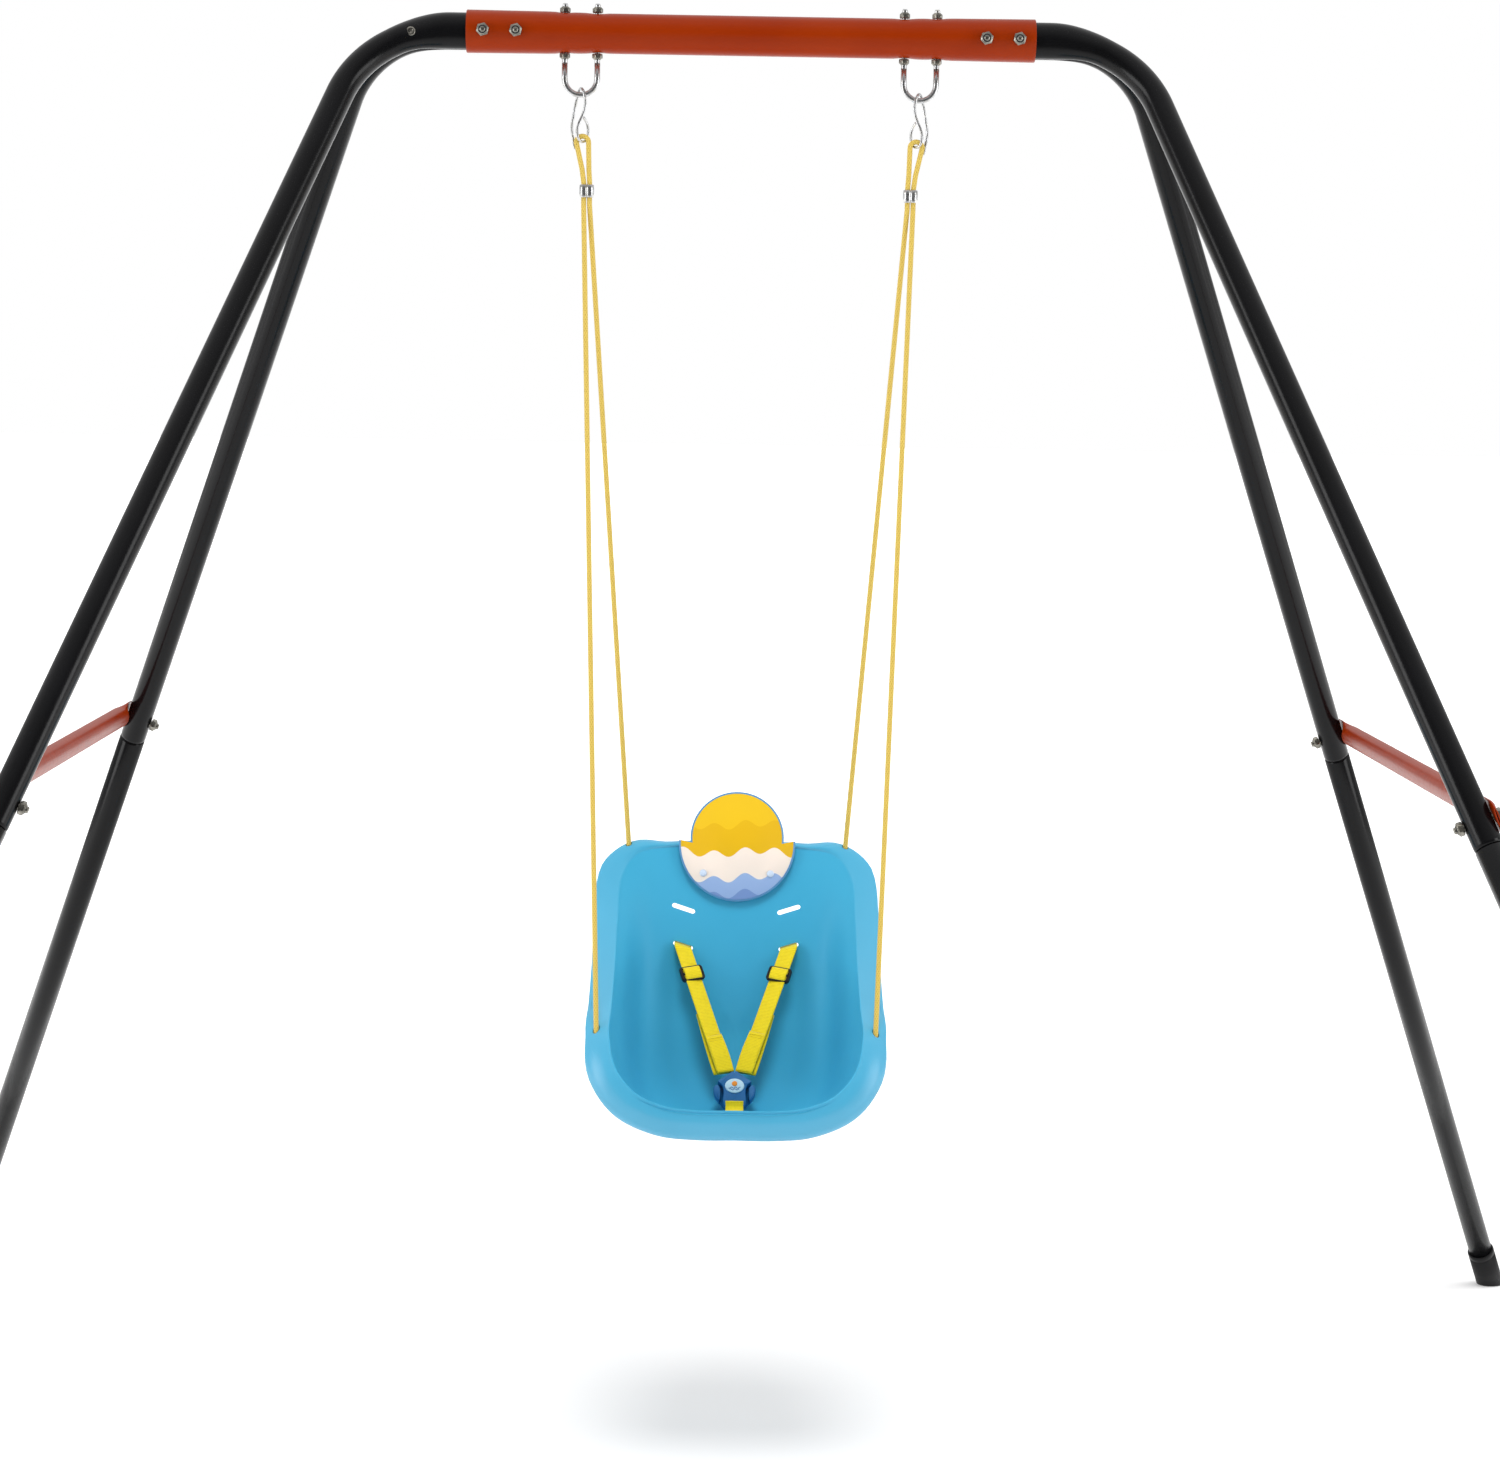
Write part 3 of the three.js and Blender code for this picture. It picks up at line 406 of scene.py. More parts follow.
def sweep(name, path, section, first_side, material):
    """A solid of one section along a path; its UVs run round it and along it in metres."""
    rings = []
    uvs = []
    run = 0.0
    for k, (point, side, up) in enumerate(frames_along(path, first_side)):
        shape = section(k) if callable(section) else section
        rings.append([point + side * s + up * u for s, u in shape])
        if k:
            run += (path[k] - path[k - 1]).length
        uvs += [(i / len(shape), run * MM) for i in range(len(shape))]
    return loft(name, rings, material, uvs=uvs)


def circle(radius, count):
    return [(radius * math.cos(angle), radius * math.sin(angle)) for angle in turns(count)]


def spline(points, steps, closed=False):
    """Centripetal Catmull-Rom through the points, `steps` pieces to a stretch."""
    points = [Vector(p) for p in points]
    count = len(points)
    result = []
    for k in range(count if closed else count - 1):
        if closed:
            a, b, c, d = (points[(k + i - 1) % count] for i in range(4))
        else:
            b, c = points[k], points[k + 1]
            a = points[k - 1] if k else b * 2 - c
            d = points[k + 2] if k + 2 < count else c * 2 - b
        t1 = max((b - a).length, 1e-6) ** 0.5
        t2 = t1 + max((c - b).length, 1e-6) ** 0.5
        t3 = t2 + max((d - c).length, 1e-6) ** 0.5
        for i in range(steps):
            t = t1 + (t2 - t1) * i / steps
            ab = a.lerp(b, t / t1)
            bc = b.lerp(c, (t - t1) / (t2 - t1))
            cd = c.lerp(d, (t - t2) / (t3 - t2))
            left = ab.lerp(bc, t / t2)
            right = bc.lerp(cd, (t - t1) / (t3 - t1))
            result.append(left.lerp(right, (t - t1) / (t2 - t1)))
    if not closed:
        result.append(points[-1])
    return result


def carve(thing, tool):
    """Cuts the tool out of the thing and removes it."""
    made = thing.modifiers.new("cut", "BOOLEAN")
    made.object = tool
    made.operation = "DIFFERENCE"
    made.solver = "EXACT"
    apply_modifiers(thing)
    bpy.data.objects.remove(tool, do_unlink=True)


def rod(name, radius, start, end, count, material):
    axis = (end - start).normalized()
    side = axis.orthogonal()
    return sweep(name, [start, end], circle(radius, count), side, material)


def lathe(name, profile, place, axis, material, count=32):
    """Turns (radius, height) points round an axis. Points on the axis close the ends."""
    place, axis = Vector(place), Vector(axis).normalized()
    side = axis.orthogonal().normalized()
    up = axis.cross(side)
    vertices = []
    rows = []
    for radius, height in profile:
        centre = place + axis * height
        if radius < 1e-6:
            rows.append([len(vertices)])
            vertices.append(centre)
            continue
        rows.append(list(range(len(vertices), len(vertices) + count)))
        vertices += oval(centre, side, up, radius, radius, count)
    faces = []
    for a, b in zip(rows, rows[1:]):
        if len(a) == 1 and len(b) == 1:
            continue
        for i in range(count):
            j = (i + 1) % count
            if len(a) == 1:
                faces.append((a[0], b[j], b[i]))
            elif len(b) == 1:
                faces.append((a[i], a[j], b[0]))
            else:
                faces.append((a[i], a[j], b[j], b[i]))
    return make(name, vertices, faces, material)


def join(name, *things):
    for thing in things:
        thing.select_set(True)
    bpy.context.view_layer.objects.active = things[0]
    bpy.ops.object.join()
    joined = bpy.context.view_layer.objects.active
    joined.name = name
    bpy.ops.object.select_all(action="DESELECT")
    return joined


def stand_for(thing, body, node):
    """This piece rides on a body and stands for one CAD node."""
    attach(thing, body)
    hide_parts(node)


bpy.ops.object.select_all(action="DESELECT")


# ---- Camera: the photograph's viewing angle
LENS, SENSOR = 87.6, 36         # both in millimetres
camera_data = bpy.data.cameras.new("camera")
camera_data.sensor_width = SENSOR
camera_data.sensor_fit = "HORIZONTAL"
camera_data.lens = LENS
camera_data.clip_end = 50
camera = bpy.data.objects.new("camera", camera_data)
scene.collection.objects.link(camera)
yaw, pitch, roll = 0.0133, -0.0997, 0.0164
forward = Vector((math.sin(yaw) * math.cos(pitch), math.cos(yaw) * math.cos(pitch), math.sin(pitch)))
level = Vector((math.cos(yaw), -math.sin(yaw), 0))
above = level.cross(forward)
right = level * math.cos(roll) + above * math.sin(roll)
up = above * math.cos(roll) - level * math.sin(roll)
camera.matrix_world = Matrix((
    (right.x, up.x, -forward.x, -0.0331),
    (right.y, up.y, -forward.y, -3.1542),
    (right.z, up.z, -forward.z, 0.9521),
    (0, 0, 0, 1),
))
scene.camera = camera

# ---- Floor and light
white = Mat("studio_white")
white.set(Roughness=0.9, Specular_IOR_Level=0.0)
white.shader.inputs["Emission Color"].default_value = (1, 1, 1, 1)
# Far from the object, where the lamps no longer reach, the sweep glows a little so it stays white.
reach_node = white.node("ShaderNodeVectorMath", operation="LENGTH")
white.link(white.coords(), reach_node.inputs[0])
glow = white.node("ShaderNodeMapRange", interpolation_type="SMOOTHSTEP")
for key, value in (("From Min", 0.5), ("From Max", 2.0), ("To Min", 0.14), ("To Max", 0.6)):
    glow.inputs[key].default_value = value
white.link(reach_node.outputs["Value"], glow.inputs["Value"])
# Mirrored in the paint, the floor fades to dark in front of the object, as towards an unlit room.
place_parts = white.node("ShaderNodeSeparateXYZ")
white.link(white.coords(), place_parts.inputs["Vector"])
fade = white.node("ShaderNodeMapRange", interpolation_type="SMOOTHSTEP")
for key, value in (("From Min", -2.2), ("From Max", -0.3), ("To Min", 0.94), ("To Max", 0.0)):
    fade.inputs[key].default_value = value
white.link(place_parts.outputs["Y"], fade.inputs["Value"])
glossy_ray = white.node("ShaderNodeLightPath").outputs["Is Glossy Ray"]
kept = white.math("SUBTRACT", 1.0, white.math("MULTIPLY", glossy_ray, fade.outputs["Result"]))
white.link(white.math("MULTIPLY", glow.outputs["Result"], kept), white.shader.inputs["Emission Strength"])
white.link(white.math("MULTIPLY", kept, 0.77), white.shader.inputs["Base Color"])
FLOOR_SIDE, FLOOR_FRONT, FLOOR_REAR, FLOOR_Z = 30000, -14000, 60000, -0.6
floor = make("studio_floor", [
    (-FLOOR_SIDE, FLOOR_FRONT, FLOOR_Z), (FLOOR_SIDE, FLOOR_FRONT, FLOOR_Z),
    (FLOOR_SIDE, FLOOR_REAR, FLOOR_Z), (-FLOOR_SIDE, FLOOR_REAR, FLOOR_Z),
], [(0, 1, 2, 3)], white.material, smooth=False)


def studio_world():
    """Pure white behind the object; for the light itself, bright sides and top and a dim front."""
    world = bpy.data.worlds.new("studio")
    world.use_nodes = True
    tree = world.node_tree
    links = tree.links
    background = tree.nodes["Background"]
    source = tree.nodes.new("ShaderNodeTexCoord")
    parts = tree.nodes.new("ShaderNodeSeparateXYZ")
    links.new(source.outputs["Generated"], parts.inputs["Vector"])

    def ramp(output, stops):
        made = tree.nodes.new("ShaderNodeMapRange")
        for key, value in zip(("From Min", "From Max", "To Min", "To Max"), stops):
            made.inputs[key].default_value = value
        made.interpolation_type = "SMOOTHSTEP"
        links.new(output, made.inputs["Value"])
        return made.outputs["Result"]

    def add(first, second):
        made = tree.nodes.new("ShaderNodeMath")
        made.operation = "ADD"
        links.new(first, made.inputs[0])
        links.new(second, made.inputs[1])
        return made.outputs["Value"]

    behind = ramp(parts.outputs["Y"], (-0.8, 0.4, 0.10, 0.62))
    top = ramp(parts.outputs["Z"], (0.2, 0.95, 0.0, 0.5))
    path = tree.nodes.new("ShaderNodeLightPath")
    choose = tree.nodes.new("ShaderNodeMix")
    choose.data_type = "FLOAT"
    links.new(path.outputs["Is Camera Ray"], choose.inputs["Factor"])
    links.new(add(behind, top), choose.inputs["A"])
    choose.inputs["B"].default_value = 1.0
    links.new(choose.outputs["Result"], background.inputs["Strength"])
    background.inputs["Color"].default_value = (1, 1, 1, 1)
    scene.world = world


studio_world()
scene.view_settings.view_transform = "Standard"


def area_light(name, place, target, size, power):
    """A soft box at a place, turned to its target."""
    data = bpy.data.lights.new(name, "AREA")
    data.shape = "RECTANGLE"
    data.size, data.size_y = size
    data.energy = power
    light = bpy.data.objects.new(name, data)
    light.location = place
    light.rotation_euler = (Vector(target) - Vector(place)).to_track_quat("-Z", "Y").to_euler()
    scene.collection.objects.link(light)


sun_data = bpy.data.lights.new("sun", "SUN")
sun_data.energy = 1.55
sun_data.angle = math.radians(22)
sun = bpy.data.objects.new("sun", sun_data)
sun.rotation_euler = Vector((0, 0.42, -1)).to_track_quat("-Z", "Y").to_euler()
sun.visible_glossy = False
scene.collection.objects.link(sun)
area_light("left_box", (-3.2, -1.5, 1.0), (0, 0, 0.7), (1.4, 2.6), 46)
area_light("right_box", (3.2, -1.5, 1.0), (0, 0, 0.7), (1.4, 2.6), 42)


# ---- Frame tubes
def leg_at(sx, sy, z):
    """A point on a leg's centreline at a height."""
    return Vector((sx * (FOOT_X - LEG_SLOPE_X * z), sy * (FOOT_Y - LEG_SLOPE_Y * z), z))


def leg_down(sx, sy):
    return Vector((sx * LEG_SLOPE_X, sy * LEG_SLOPE_Y, -1)).normalized()


LEAN = math.atan(LEG_SLOPE_Y)
BEND_ANGLE = math.acos(LEG_SLOPE_X / math.hypot(LEG_SLOPE_X, LEG_SLOPE_Y, 1))
CORNER = leg_at(1, 1, BAR_HEIGHT)
BEND_START_X = CORNER.x - BEND_RADIUS * math.tan(BEND_ANGLE / 2)
AROUND = 40


def leg_ring(point, along, half, wall):
    """A section of the upper leg: round where half is 0, pressed to a half round where it is 1."""
    depth = mix(TUBE_RADIUS, HALF_ROUND_DEPTH, half) - wall
    flat = mix(TUBE_RADIUS, HALF_ROUND_FLAT, half) - wall
    height = mix(TUBE_RADIUS, HALF_ROUND_HEIGHT, half) - wall
    lean = LEAN * (1 - half)
    out = Vector((0, math.cos(lean), math.sin(lean)))
    rise = along.cross(out).normalized()
    side = rise.cross(along).normalized()
    ring = []
    for angle in turns(AROUND):
        reach = depth if math.cos(angle) > 0 else flat
        ring.append(point + side * reach * math.cos(angle) + rise * height * math.sin(angle))
    return ring


def upper_leg_rings(wall):
    """The rear right upper leg's sections, from inside the crossbar down to the joint."""
    rings = []

    def station(x, drop, along, half):
        own = mix(TUBE_RADIUS, HALF_ROUND_FLAT, half) + 0.6
        lean = max(0.0, CORNER.y + drop * math.sin(LEAN) - TUBE_RADIUS - 0.6)
        centre = Vector((x, own + lean * (1 - half), BAR_HEIGHT - drop * math.cos(LEAN)))
        rings.append(leg_ring(centre, along, half, wall))

    for x in (LEG_INSERT_X, 214, BAR_HALF_LENGTH, BEND_START_X):
        station(x, 0, Vector((1, 0, 0)), 1)
    steps = 36
    for k in range(1, steps + 1):
        angle = k / steps * BEND_ANGLE
        half = 1 - eased(min(angle / ROUND_AT_ANGLE, 1))
        along = Vector((math.cos(angle), math.sin(angle) * math.sin(LEAN), -math.sin(angle) * math.cos(LEAN)))
        station(BEND_START_X + BEND_RADIUS * math.sin(angle), BEND_RADIUS * (1 - math.cos(angle)),
                along, half)
    for z in (1000, 800, LEG_JOINT_Z + 3, LEG_JOINT_Z + GAP + 0.4):
        edge = 0.4 if z < LEG_JOINT_Z + 1 else 0
        rings.append(leg_ring(leg_at(1, 1, z), leg_down(1, 1), 0, wall + (edge if not wall else 0)))
    return rings


for side_name, sx in SIDES.items():
    for end_name, sy in ENDS.items():
        name = f"{side_name}_{end_name}"

        def in_corner(rings):
            return [[Vector((p.x * sx, p.y * sy, p.z)) for p in ring] for ring in rings]

        leg = loft(f"leg_top_{name}", in_corner(upper_leg_rings(0)), BLACK,
                   inner=in_corner(upper_leg_rings(TUBE_WALL)))
        stand_for(leg, "frame", f"upper_leg_{name}")

        down = leg_down(sx, sy)
        spigot = TUBE_RADIUS - TUBE_WALL - 0.6
        top = leg_at(sx, sy, SPIGOT_TOP_Z)
        joint_at = (leg_at(sx, sy, LEG_JOINT_Z) - top).length
        end_at = (leg_at(sx, sy, TUBE_END_Z) - top).length
        profile = [
            (spigot - 1.2, 0), (spigot, 0.6), (spigot, joint_at - 0.6), (TUBE_RADIUS - 0.6, joint_at),
            (TUBE_RADIUS, joint_at + 0.7), (TUBE_RADIUS, joint_at + 200), (TUBE_RADIUS, end_at),
            (TUBE_RADIUS - TUBE_WALL, end_at), (TUBE_RADIUS - TUBE_WALL, joint_at + 14),
            (spigot - TUBE_WALL, joint_at + 2), (spigot - 1.2, 0),
        ]
        shin = lathe(f"leg_foot_{name}", profile, top, down, BLACK, AROUND)
        stand_for(shin, "frame", f"lower_leg_{name}")

        cap_top = leg_at(sx, sy, TUBE_END_Z) + down * (12 - CAP_LENGTH)
        cap_profile = [
            (TUBE_RADIUS + GAP, 0), (CAP_RADIUS - 0.9, 0), (CAP_RADIUS - 0.2, 0.5), (CAP_RADIUS, 1.4),
            (CAP_RADIUS, 5.4), (CAP_RADIUS - 0.4, 5.8), (CAP_RADIUS - 0.4, 6.8), (CAP_RADIUS, 7.2),
            (CAP_RADIUS, CAP_LENGTH + 2), (CAP_RADIUS - 1.2, CAP_LENGTH + 5.5),
            (CAP_RADIUS - 4, CAP_LENGTH + 8), (0, CAP_LENGTH + 8), (0, CAP_LENGTH - 12 + GAP),
            (TUBE_RADIUS + GAP, CAP_LENGTH - 12 + GAP), (TUBE_RADIUS + GAP, 0),
        ]
        cap = lathe(f"cap_{name}", cap_profile, cap_top, down, CAP, AROUND)
        ground = bmesh.new()
        ground.from_mesh(cap.data)
        cut = bmesh.ops.bisect_plane(ground, geom=ground.verts[:] + ground.edges[:] + ground.faces[:],
                                     plane_co=(0, 0, 0), plane_no=(0, 0, -1), clear_outer=True)
        rim = [e for e in cut["geom_cut"] if isinstance(e, bmesh.types.BMEdge)]
        bmesh.ops.contextual_create(ground, geom=rim)
        bmesh.ops.recalc_face_normals(ground, faces=ground.faces)
        ground.to_mesh(cap.data)
        ground.free()
        stand_for(cap, "frame", f"foot_cap_{name}")

# The crossbar: flared ends, a pressed dimple round each U-bolt leg, and turned end lips.
bar_rings = []
bar_bore = []
stations = list(np.linspace(-BAR_HALF_LENGTH, BAR_HALF_LENGTH, 97))
bar_x = [-BAR_HALF_LENGTH, -BAR_HALF_LENGTH + 0.6] + stations[1:-1] + [BAR_HALF_LENGTH - 0.6, BAR_HALF_LENGTH]
for x in bar_x:
    t = eased(min(max((abs(x) - (U_BOLT_X - 24)) / 58, 0), 1))
    radius = mix(BAR_RADIUS, BAR_END_RADIUS - 0.4, t) + 0.4 * max(0, (abs(x) - U_BOLT_X - 34) / 64)
    lip = 0.35 if abs(x) > BAR_HALF_LENGTH - 0.3 else 0
    for rings, shell in ((bar_rings, radius - lip), (bar_bore, radius - BAR_WALL)):
        ring = []
        for angle in turns(48):
            dent = 0.0
            for leg in (-1, 1):
                away = abs(abs(x) - (U_BOLT_X + leg * U_BOLT_RADIUS))
                dent += 1.0 * math.exp(-(away / 5.5) ** 2) * abs(math.sin(angle)) ** 10
            reach = shell - dent
            ring.append(Vector((x, reach * math.cos(angle), BAR_HEIGHT + reach * math.sin(angle))))
        rings.append(ring)
bar = loft("crossbar_tube", bar_rings, ORANGE, inner=bar_bore)
stand_for(bar, "frame", "crossbar")

# The braces: round in the middle, pressed flat round the bolts, with round corners.
brace_half = leg_at(1, 1, BRACE_Z).y
brace_offset = TUBE_RADIUS + GAP + BRACE_FLAT_THICK
reach = brace_half + 12
for side_name, sx in SIDES.items():
    axis = Vector((sx, 0, LEG_SLOPE_X)).normalized()
    wide_way = Vector((0, 1, 0)).cross(axis).normalized()
    middle = leg_at(sx, 1, BRACE_Z)
    middle.y = 0
    middle += axis * brace_offset
    half_stations = [(reach, 1), (reach - 1, 1), (reach - 4, 1), (reach - 8, 1)]
    half_stations += [(reach - 26 - 26 * k / 8, 1 - k / 8) for k in range(9)]
    half_stations += [(y, 0) for y in (220, 120, 40)]
    both = half_stations + [(-y, flat) for y, flat in reversed(half_stations)]
    shells = []
    for wall in (0, 1):
        rings = []
        for y, flat in both:
            ease = eased(flat)
            thick = mix(BRACE_RADIUS - wall, 0.5 if wall else BRACE_FLAT_THICK, ease)
            corner = max(0.0, 1 - (reach - abs(y)) / 9)
            wide = (mix(BRACE_RADIUS, BRACE_FLAT_HALF, ease) - wall) * (1 - 0.38 * corner ** 2)
            rings.append(oval(middle + Vector((0, y, 0)), axis, wide_way, thick, wide, 36))
        shells.append(rings)
    brace = loft(f"brace_bar_{side_name}", shells[0], ORANGE, inner=shells[1])
    stand_for(brace, "frame", f"brace_{side_name}")


# ---- Fasteners
def hex_prism(name, centre, axis, flats, height, material, chamfer=0.5):
    """A hex head or nut with its corners turned off at both faces."""
    axis = Vector(axis).normalized()
    side = axis.orthogonal().normalized()
    upward = axis.cross(side)
    levels = [(-height / 2, 0.93), (-height / 2 + chamfer, 1.0), (height / 2 - chamfer, 1.0),
              (height / 2, 0.93)]
    rings = []
    for level, shrink in levels:
        ring = []
        for angle in turns(48):
            local = (angle + math.pi / 6) % (math.pi / 3) - math.pi / 6
            radius = flats / math.cos(local)
            if shrink < 1:
                radius = min(radius, flats * 1.02)
            ring.append(centre + axis * level
                        + side * radius * math.cos(angle) + upward * radius * math.sin(angle))
        rings.append(ring)
    return loft(name, rings, material)


def threaded_end(name, base, axis, radius, length, material):
    """A bolt's end: thread crests as close rings, with a pointed tip."""
    profile = [(0, 0), (radius, 0)]
    pitch = 0.8
    crests = int((length - 1) / pitch)
    for k in range(crests):
        profile += [(radius, k * pitch + 0.1), (radius - 0.35, k * pitch + 0.45)]
    profile += [(radius, crests * pitch), (radius - 0.8, length), (0, length)]
    return lathe(name, profile, base, axis, material, 24)


def lock_nut(name, centre, axis, flats, height):
    """A nut with a rounded collar and a nylon ring on its outer face."""
    axis = Vector(axis).normalized()
    body = hex_prism(f"{name}_hex", centre, axis, flats, height, ZINC)
    collar = lathe(f"{name}_collar", [
        (0, height / 2 - 0.2), (flats * 0.86, height / 2 - 0.2), (flats * 0.84, height / 2 + 0.5),
        (flats * 0.72, height / 2 + 0.9), (0, height / 2 + 0.9),
    ], centre, axis, ZINC)
    ring = lathe(f"{name}_ring", [
        (flats * 0.48, height / 2 + 0.7), (flats * 0.7, height / 2 + 0.7), (flats * 0.7, height / 2 + 1.0),
        (flats * 0.48, height / 2 + 1.0), (flats * 0.48, height / 2 + 0.7),
    ], centre, axis, NYLON)
    return join(name, body, collar, ring)


for side_name, sx in SIDES.items():
    for place_name, x in BAR_BOLT_X.items():
        seat_y = BAR_END_RADIUS + GAP
        centre = Vector((sx * x, -(seat_y + NUT_HEIGHT_M6 / 2), BAR_HEIGHT))
        nut = lock_nut(f"bar_nut_{side_name}_{place_name}", centre, (0, -1, 0),
                       NUT_HALF_M6, NUT_HEIGHT_M6 - 0.6)
        stand_for(nut, "frame", f"crossbar_nut_{side_name}_{place_name}")
        head_at = Vector((sx * x, seat_y + HEAD_HEIGHT / 2, BAR_HEIGHT))
        head = hex_prism(f"head_{side_name}_{place_name}", head_at, (0, 1, 0), NUT_HALF_M6, HEAD_HEIGHT, ZINC)
        tip = threaded_end("tip", Vector((sx * x, seat_y - 1, BAR_HEIGHT)), (0, -1, 0), BOLT_RADIUS,
                           2 * seat_y + NUT_HEIGHT_M6 + 0.5, ZINC)
        bolt = join(f"bar_bolt_{side_name}_{place_name}", head, tip)
        stand_for(bolt, "frame", f"crossbar_bolt_{side_name}_{place_name}")

    for end_name, sy in ENDS.items():
        axis = Vector((sx, 0, LEG_SLOPE_X)).normalized()
        point = leg_at(sx, sy, BRACE_Z)
        nut_centre = point - axis * (TUBE_RADIUS + GAP + NUT_HEIGHT_M6 / 2)
        nut = lock_nut(f"leg_nut_{side_name}_{end_name}", nut_centre, -axis, NUT_HALF_M6, NUT_HEIGHT_M6 - 0.6)
        stand_for(nut, "frame", f"brace_nut_{side_name}_{end_name}")
        head_base = point + axis * (brace_offset + BRACE_FLAT_THICK + GAP)
        head = hex_prism(f"leg_head_{side_name}_{end_name}", head_base + axis * HEAD_HEIGHT / 2, axis,
                         NUT_HALF_M6, HEAD_HEIGHT, ZINC)
        tip = threaded_end("tip", head_base + axis * 1, -axis, BOLT_RADIUS, 37, ZINC)
        bolt = join(f"leg_bolt_{side_name}_{end_name}", head, tip)
        stand_for(bolt, "frame", f"brace_bolt_{side_name}_{end_name}")

    # U-bolt: plain bow, threaded upper legs.
    bow = [Vector((sx * U_BOLT_X - U_BOLT_RADIUS, 0, BAR_HEIGHT - 25))]
    for k in range(25):
        angle = math.pi + k / 24 * math.pi
        bow.append(Vector((sx * U_BOLT_X + U_BOLT_RADIUS * math.cos(angle), 0,
                           U_BOLT_BOTTOM_Z + U_BOLT_RADIUS * (1 + math.sin(angle)))))
    bow.append(Vector((sx * U_BOLT_X + U_BOLT_RADIUS, 0, BAR_HEIGHT - 25)))
    parts = [sweep("bow", bow, circle(U_BOLT_WIRE, 24), (0, 1, 0), BRIGHT)]
    for leg in (-1, 1):
        base = Vector((sx * U_BOLT_X + leg * U_BOLT_RADIUS, 0, BAR_HEIGHT - 25.5))
        parts.append(threaded_end("thread", base, (0, 0, 1), U_BOLT_WIRE,
                                  U_BOLT_TOP_Z - BAR_HEIGHT + 25.5, BRIGHT))
    ubolt = join(f"u_bow_{side_name}", *parts)
    stand_for(ubolt, "frame", f"u_bolt_{side_name}")
    for leg_name, leg in (("outer", sx), ("inner", -sx)):
        x = sx * U_BOLT_X + leg * U_BOLT_RADIUS
        clear = BAR_RADIUS + NUT_HEIGHT_M5 / 2
        for level_name, level_sign in (("top", 1), ("lower", -1)):
            nut_at = Vector((x, 0, BAR_HEIGHT + level_sign * clear))
            nut = lock_nut(f"u_nut_{level_name}_{side_name}_{leg_name}", nut_at, (0, 0, level_sign),
                           NUT_HALF_M5, NUT_HEIGHT_M5 - 0.4)
            stand_for(nut, "frame", f"u_bolt_{level_name}_nut_{side_name}_{leg_name}")

# Rivets that pin the leg tubes together at the bend: front left and rear right.
for side_name, sx, sy in (("left", -1, -1), ("right", 1, 1)):
    x = BEND_START_X + BEND_RADIUS * math.sin(math.radians(20))
    drop = BEND_RADIUS * (1 - math.cos(math.radians(20))) * math.cos(LEAN)
    surface = Vector((sx * x, sy * 20.6, BAR_HEIGHT - drop + 2.5))
    rivet = lathe(f"leg_rivet_{side_name}", [
        (0, -1.5), (4.1, -1.5), (4.1, 0.2), (3.7, 0.9), (2.2, 1.4), (1.9, 1.0), (0, 1.0),
    ], surface, (0, sy, 0.25), ZINC)
    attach(rivet, "frame")


# ---- Hooks, ropes and ferrules
# Each hook's centreline: towards the swing's middle, towards the back, and up.
HOOK_POINTS = [
    (-4.8, 5.2, -45.5), (-6.4, 5.2, -36), (-7.5, 5.2, -27.3), (-6.2, 5, -18), (-4.6, 4.6, -9),
    (-3, 4.6, -2), (-1.4, 3.1, 3.7), (0.4, 0, 5.6), (2.2, -3.3, 3.6), (3.6, -4.7, -1.5),
    (4.3, -4.6, -6.5), (3.6, -4.2, -12), (1.6, -4, -18), (-1.2, -4.1, -24.5), (-2.5, -4.3, -30),
    (-2, -4.1, -35.2), (-0.2, -2.2, -38.6), (2, 0, -39.4), (4.2, 2.2, -38.6), (6, 4.1, -35.2),
    (6.5, 4.3, -30), (5.6, 3.4, -24.6), (3.6, 1.2, -20.2), (2.4, -0.6, -18.4),
]


def rope_route(sx):
    """The rope's centreline: arm knot, ferrule, over the hook's eye, ferrule, knot behind the back."""
    outer, inner = FERRULE_X + STRAND_OFFSET, FERRULE_X - STRAND_OFFSET
    front_hole, rear_hole = Vector(FRONT_HOLE), Vector(REAR_HOLE)
    front_top = Vector((outer, 0, FERRULE_BOTTOM - 5))
    rear_top = Vector((inner, 0, FERRULE_BOTTOM - 5))
    front_knot = front_hole + (front_hole - front_top).normalized() * 15
    rear_knot = rear_hole + (rear_hole - rear_top).normalized() * 15
    loop = []
    for k in range(17):
        angle = k / 16 * math.pi
        loop.append(Vector((ROPE_LOOP_X + ROPE_LOOP * math.cos(angle), 0,
                            ROPE_TOP_Z - ROPE_LOOP + ROPE_LOOP * math.sin(angle))))
    route = [front_knot]
    route += [front_hole.lerp(front_top, k / 24) for k in range(25)]
    route += [Vector((outer, 0, FERRULE_BOTTOM)), Vector((outer, 0, FERRULE_TOP))]
    route += [Vector((outer + 1.6, 0, FERRULE_TOP + 12)), *loop, Vector((inner + 0.8, 0, FERRULE_TOP + 12))]
    route += [Vector((inner, 0, FERRULE_TOP)), Vector((inner, 0, FERRULE_BOTTOM))]
    route += [rear_top.lerp(rear_hole, k / 20) for k in range(21)]
    route.append(rear_knot)
    return [Vector((p.x * sx, p.y, p.z)) for p in route]


def knot(name, centre, axis, material):
    """An overhand knot pulled tight, as a trefoil of the same cord."""
    axis = Vector(axis).normalized()
    side = axis.orthogonal().normalized()
    upward = axis.cross(side)
    path = []
    for t in turns(60):
        a = 1.05 * (math.sin(t) + 2 * math.sin(2 * t))
        b = 1.05 * (math.cos(t) - 2 * math.cos(2 * t))
        c = -1.7 * math.sin(3 * t)
        path.append(Vector(centre) + side * a + upward * b + axis * c)
    path.append(path[0].copy())
    return sweep(name, path, circle(ROPE_RADIUS * 0.98, 14), side, material)


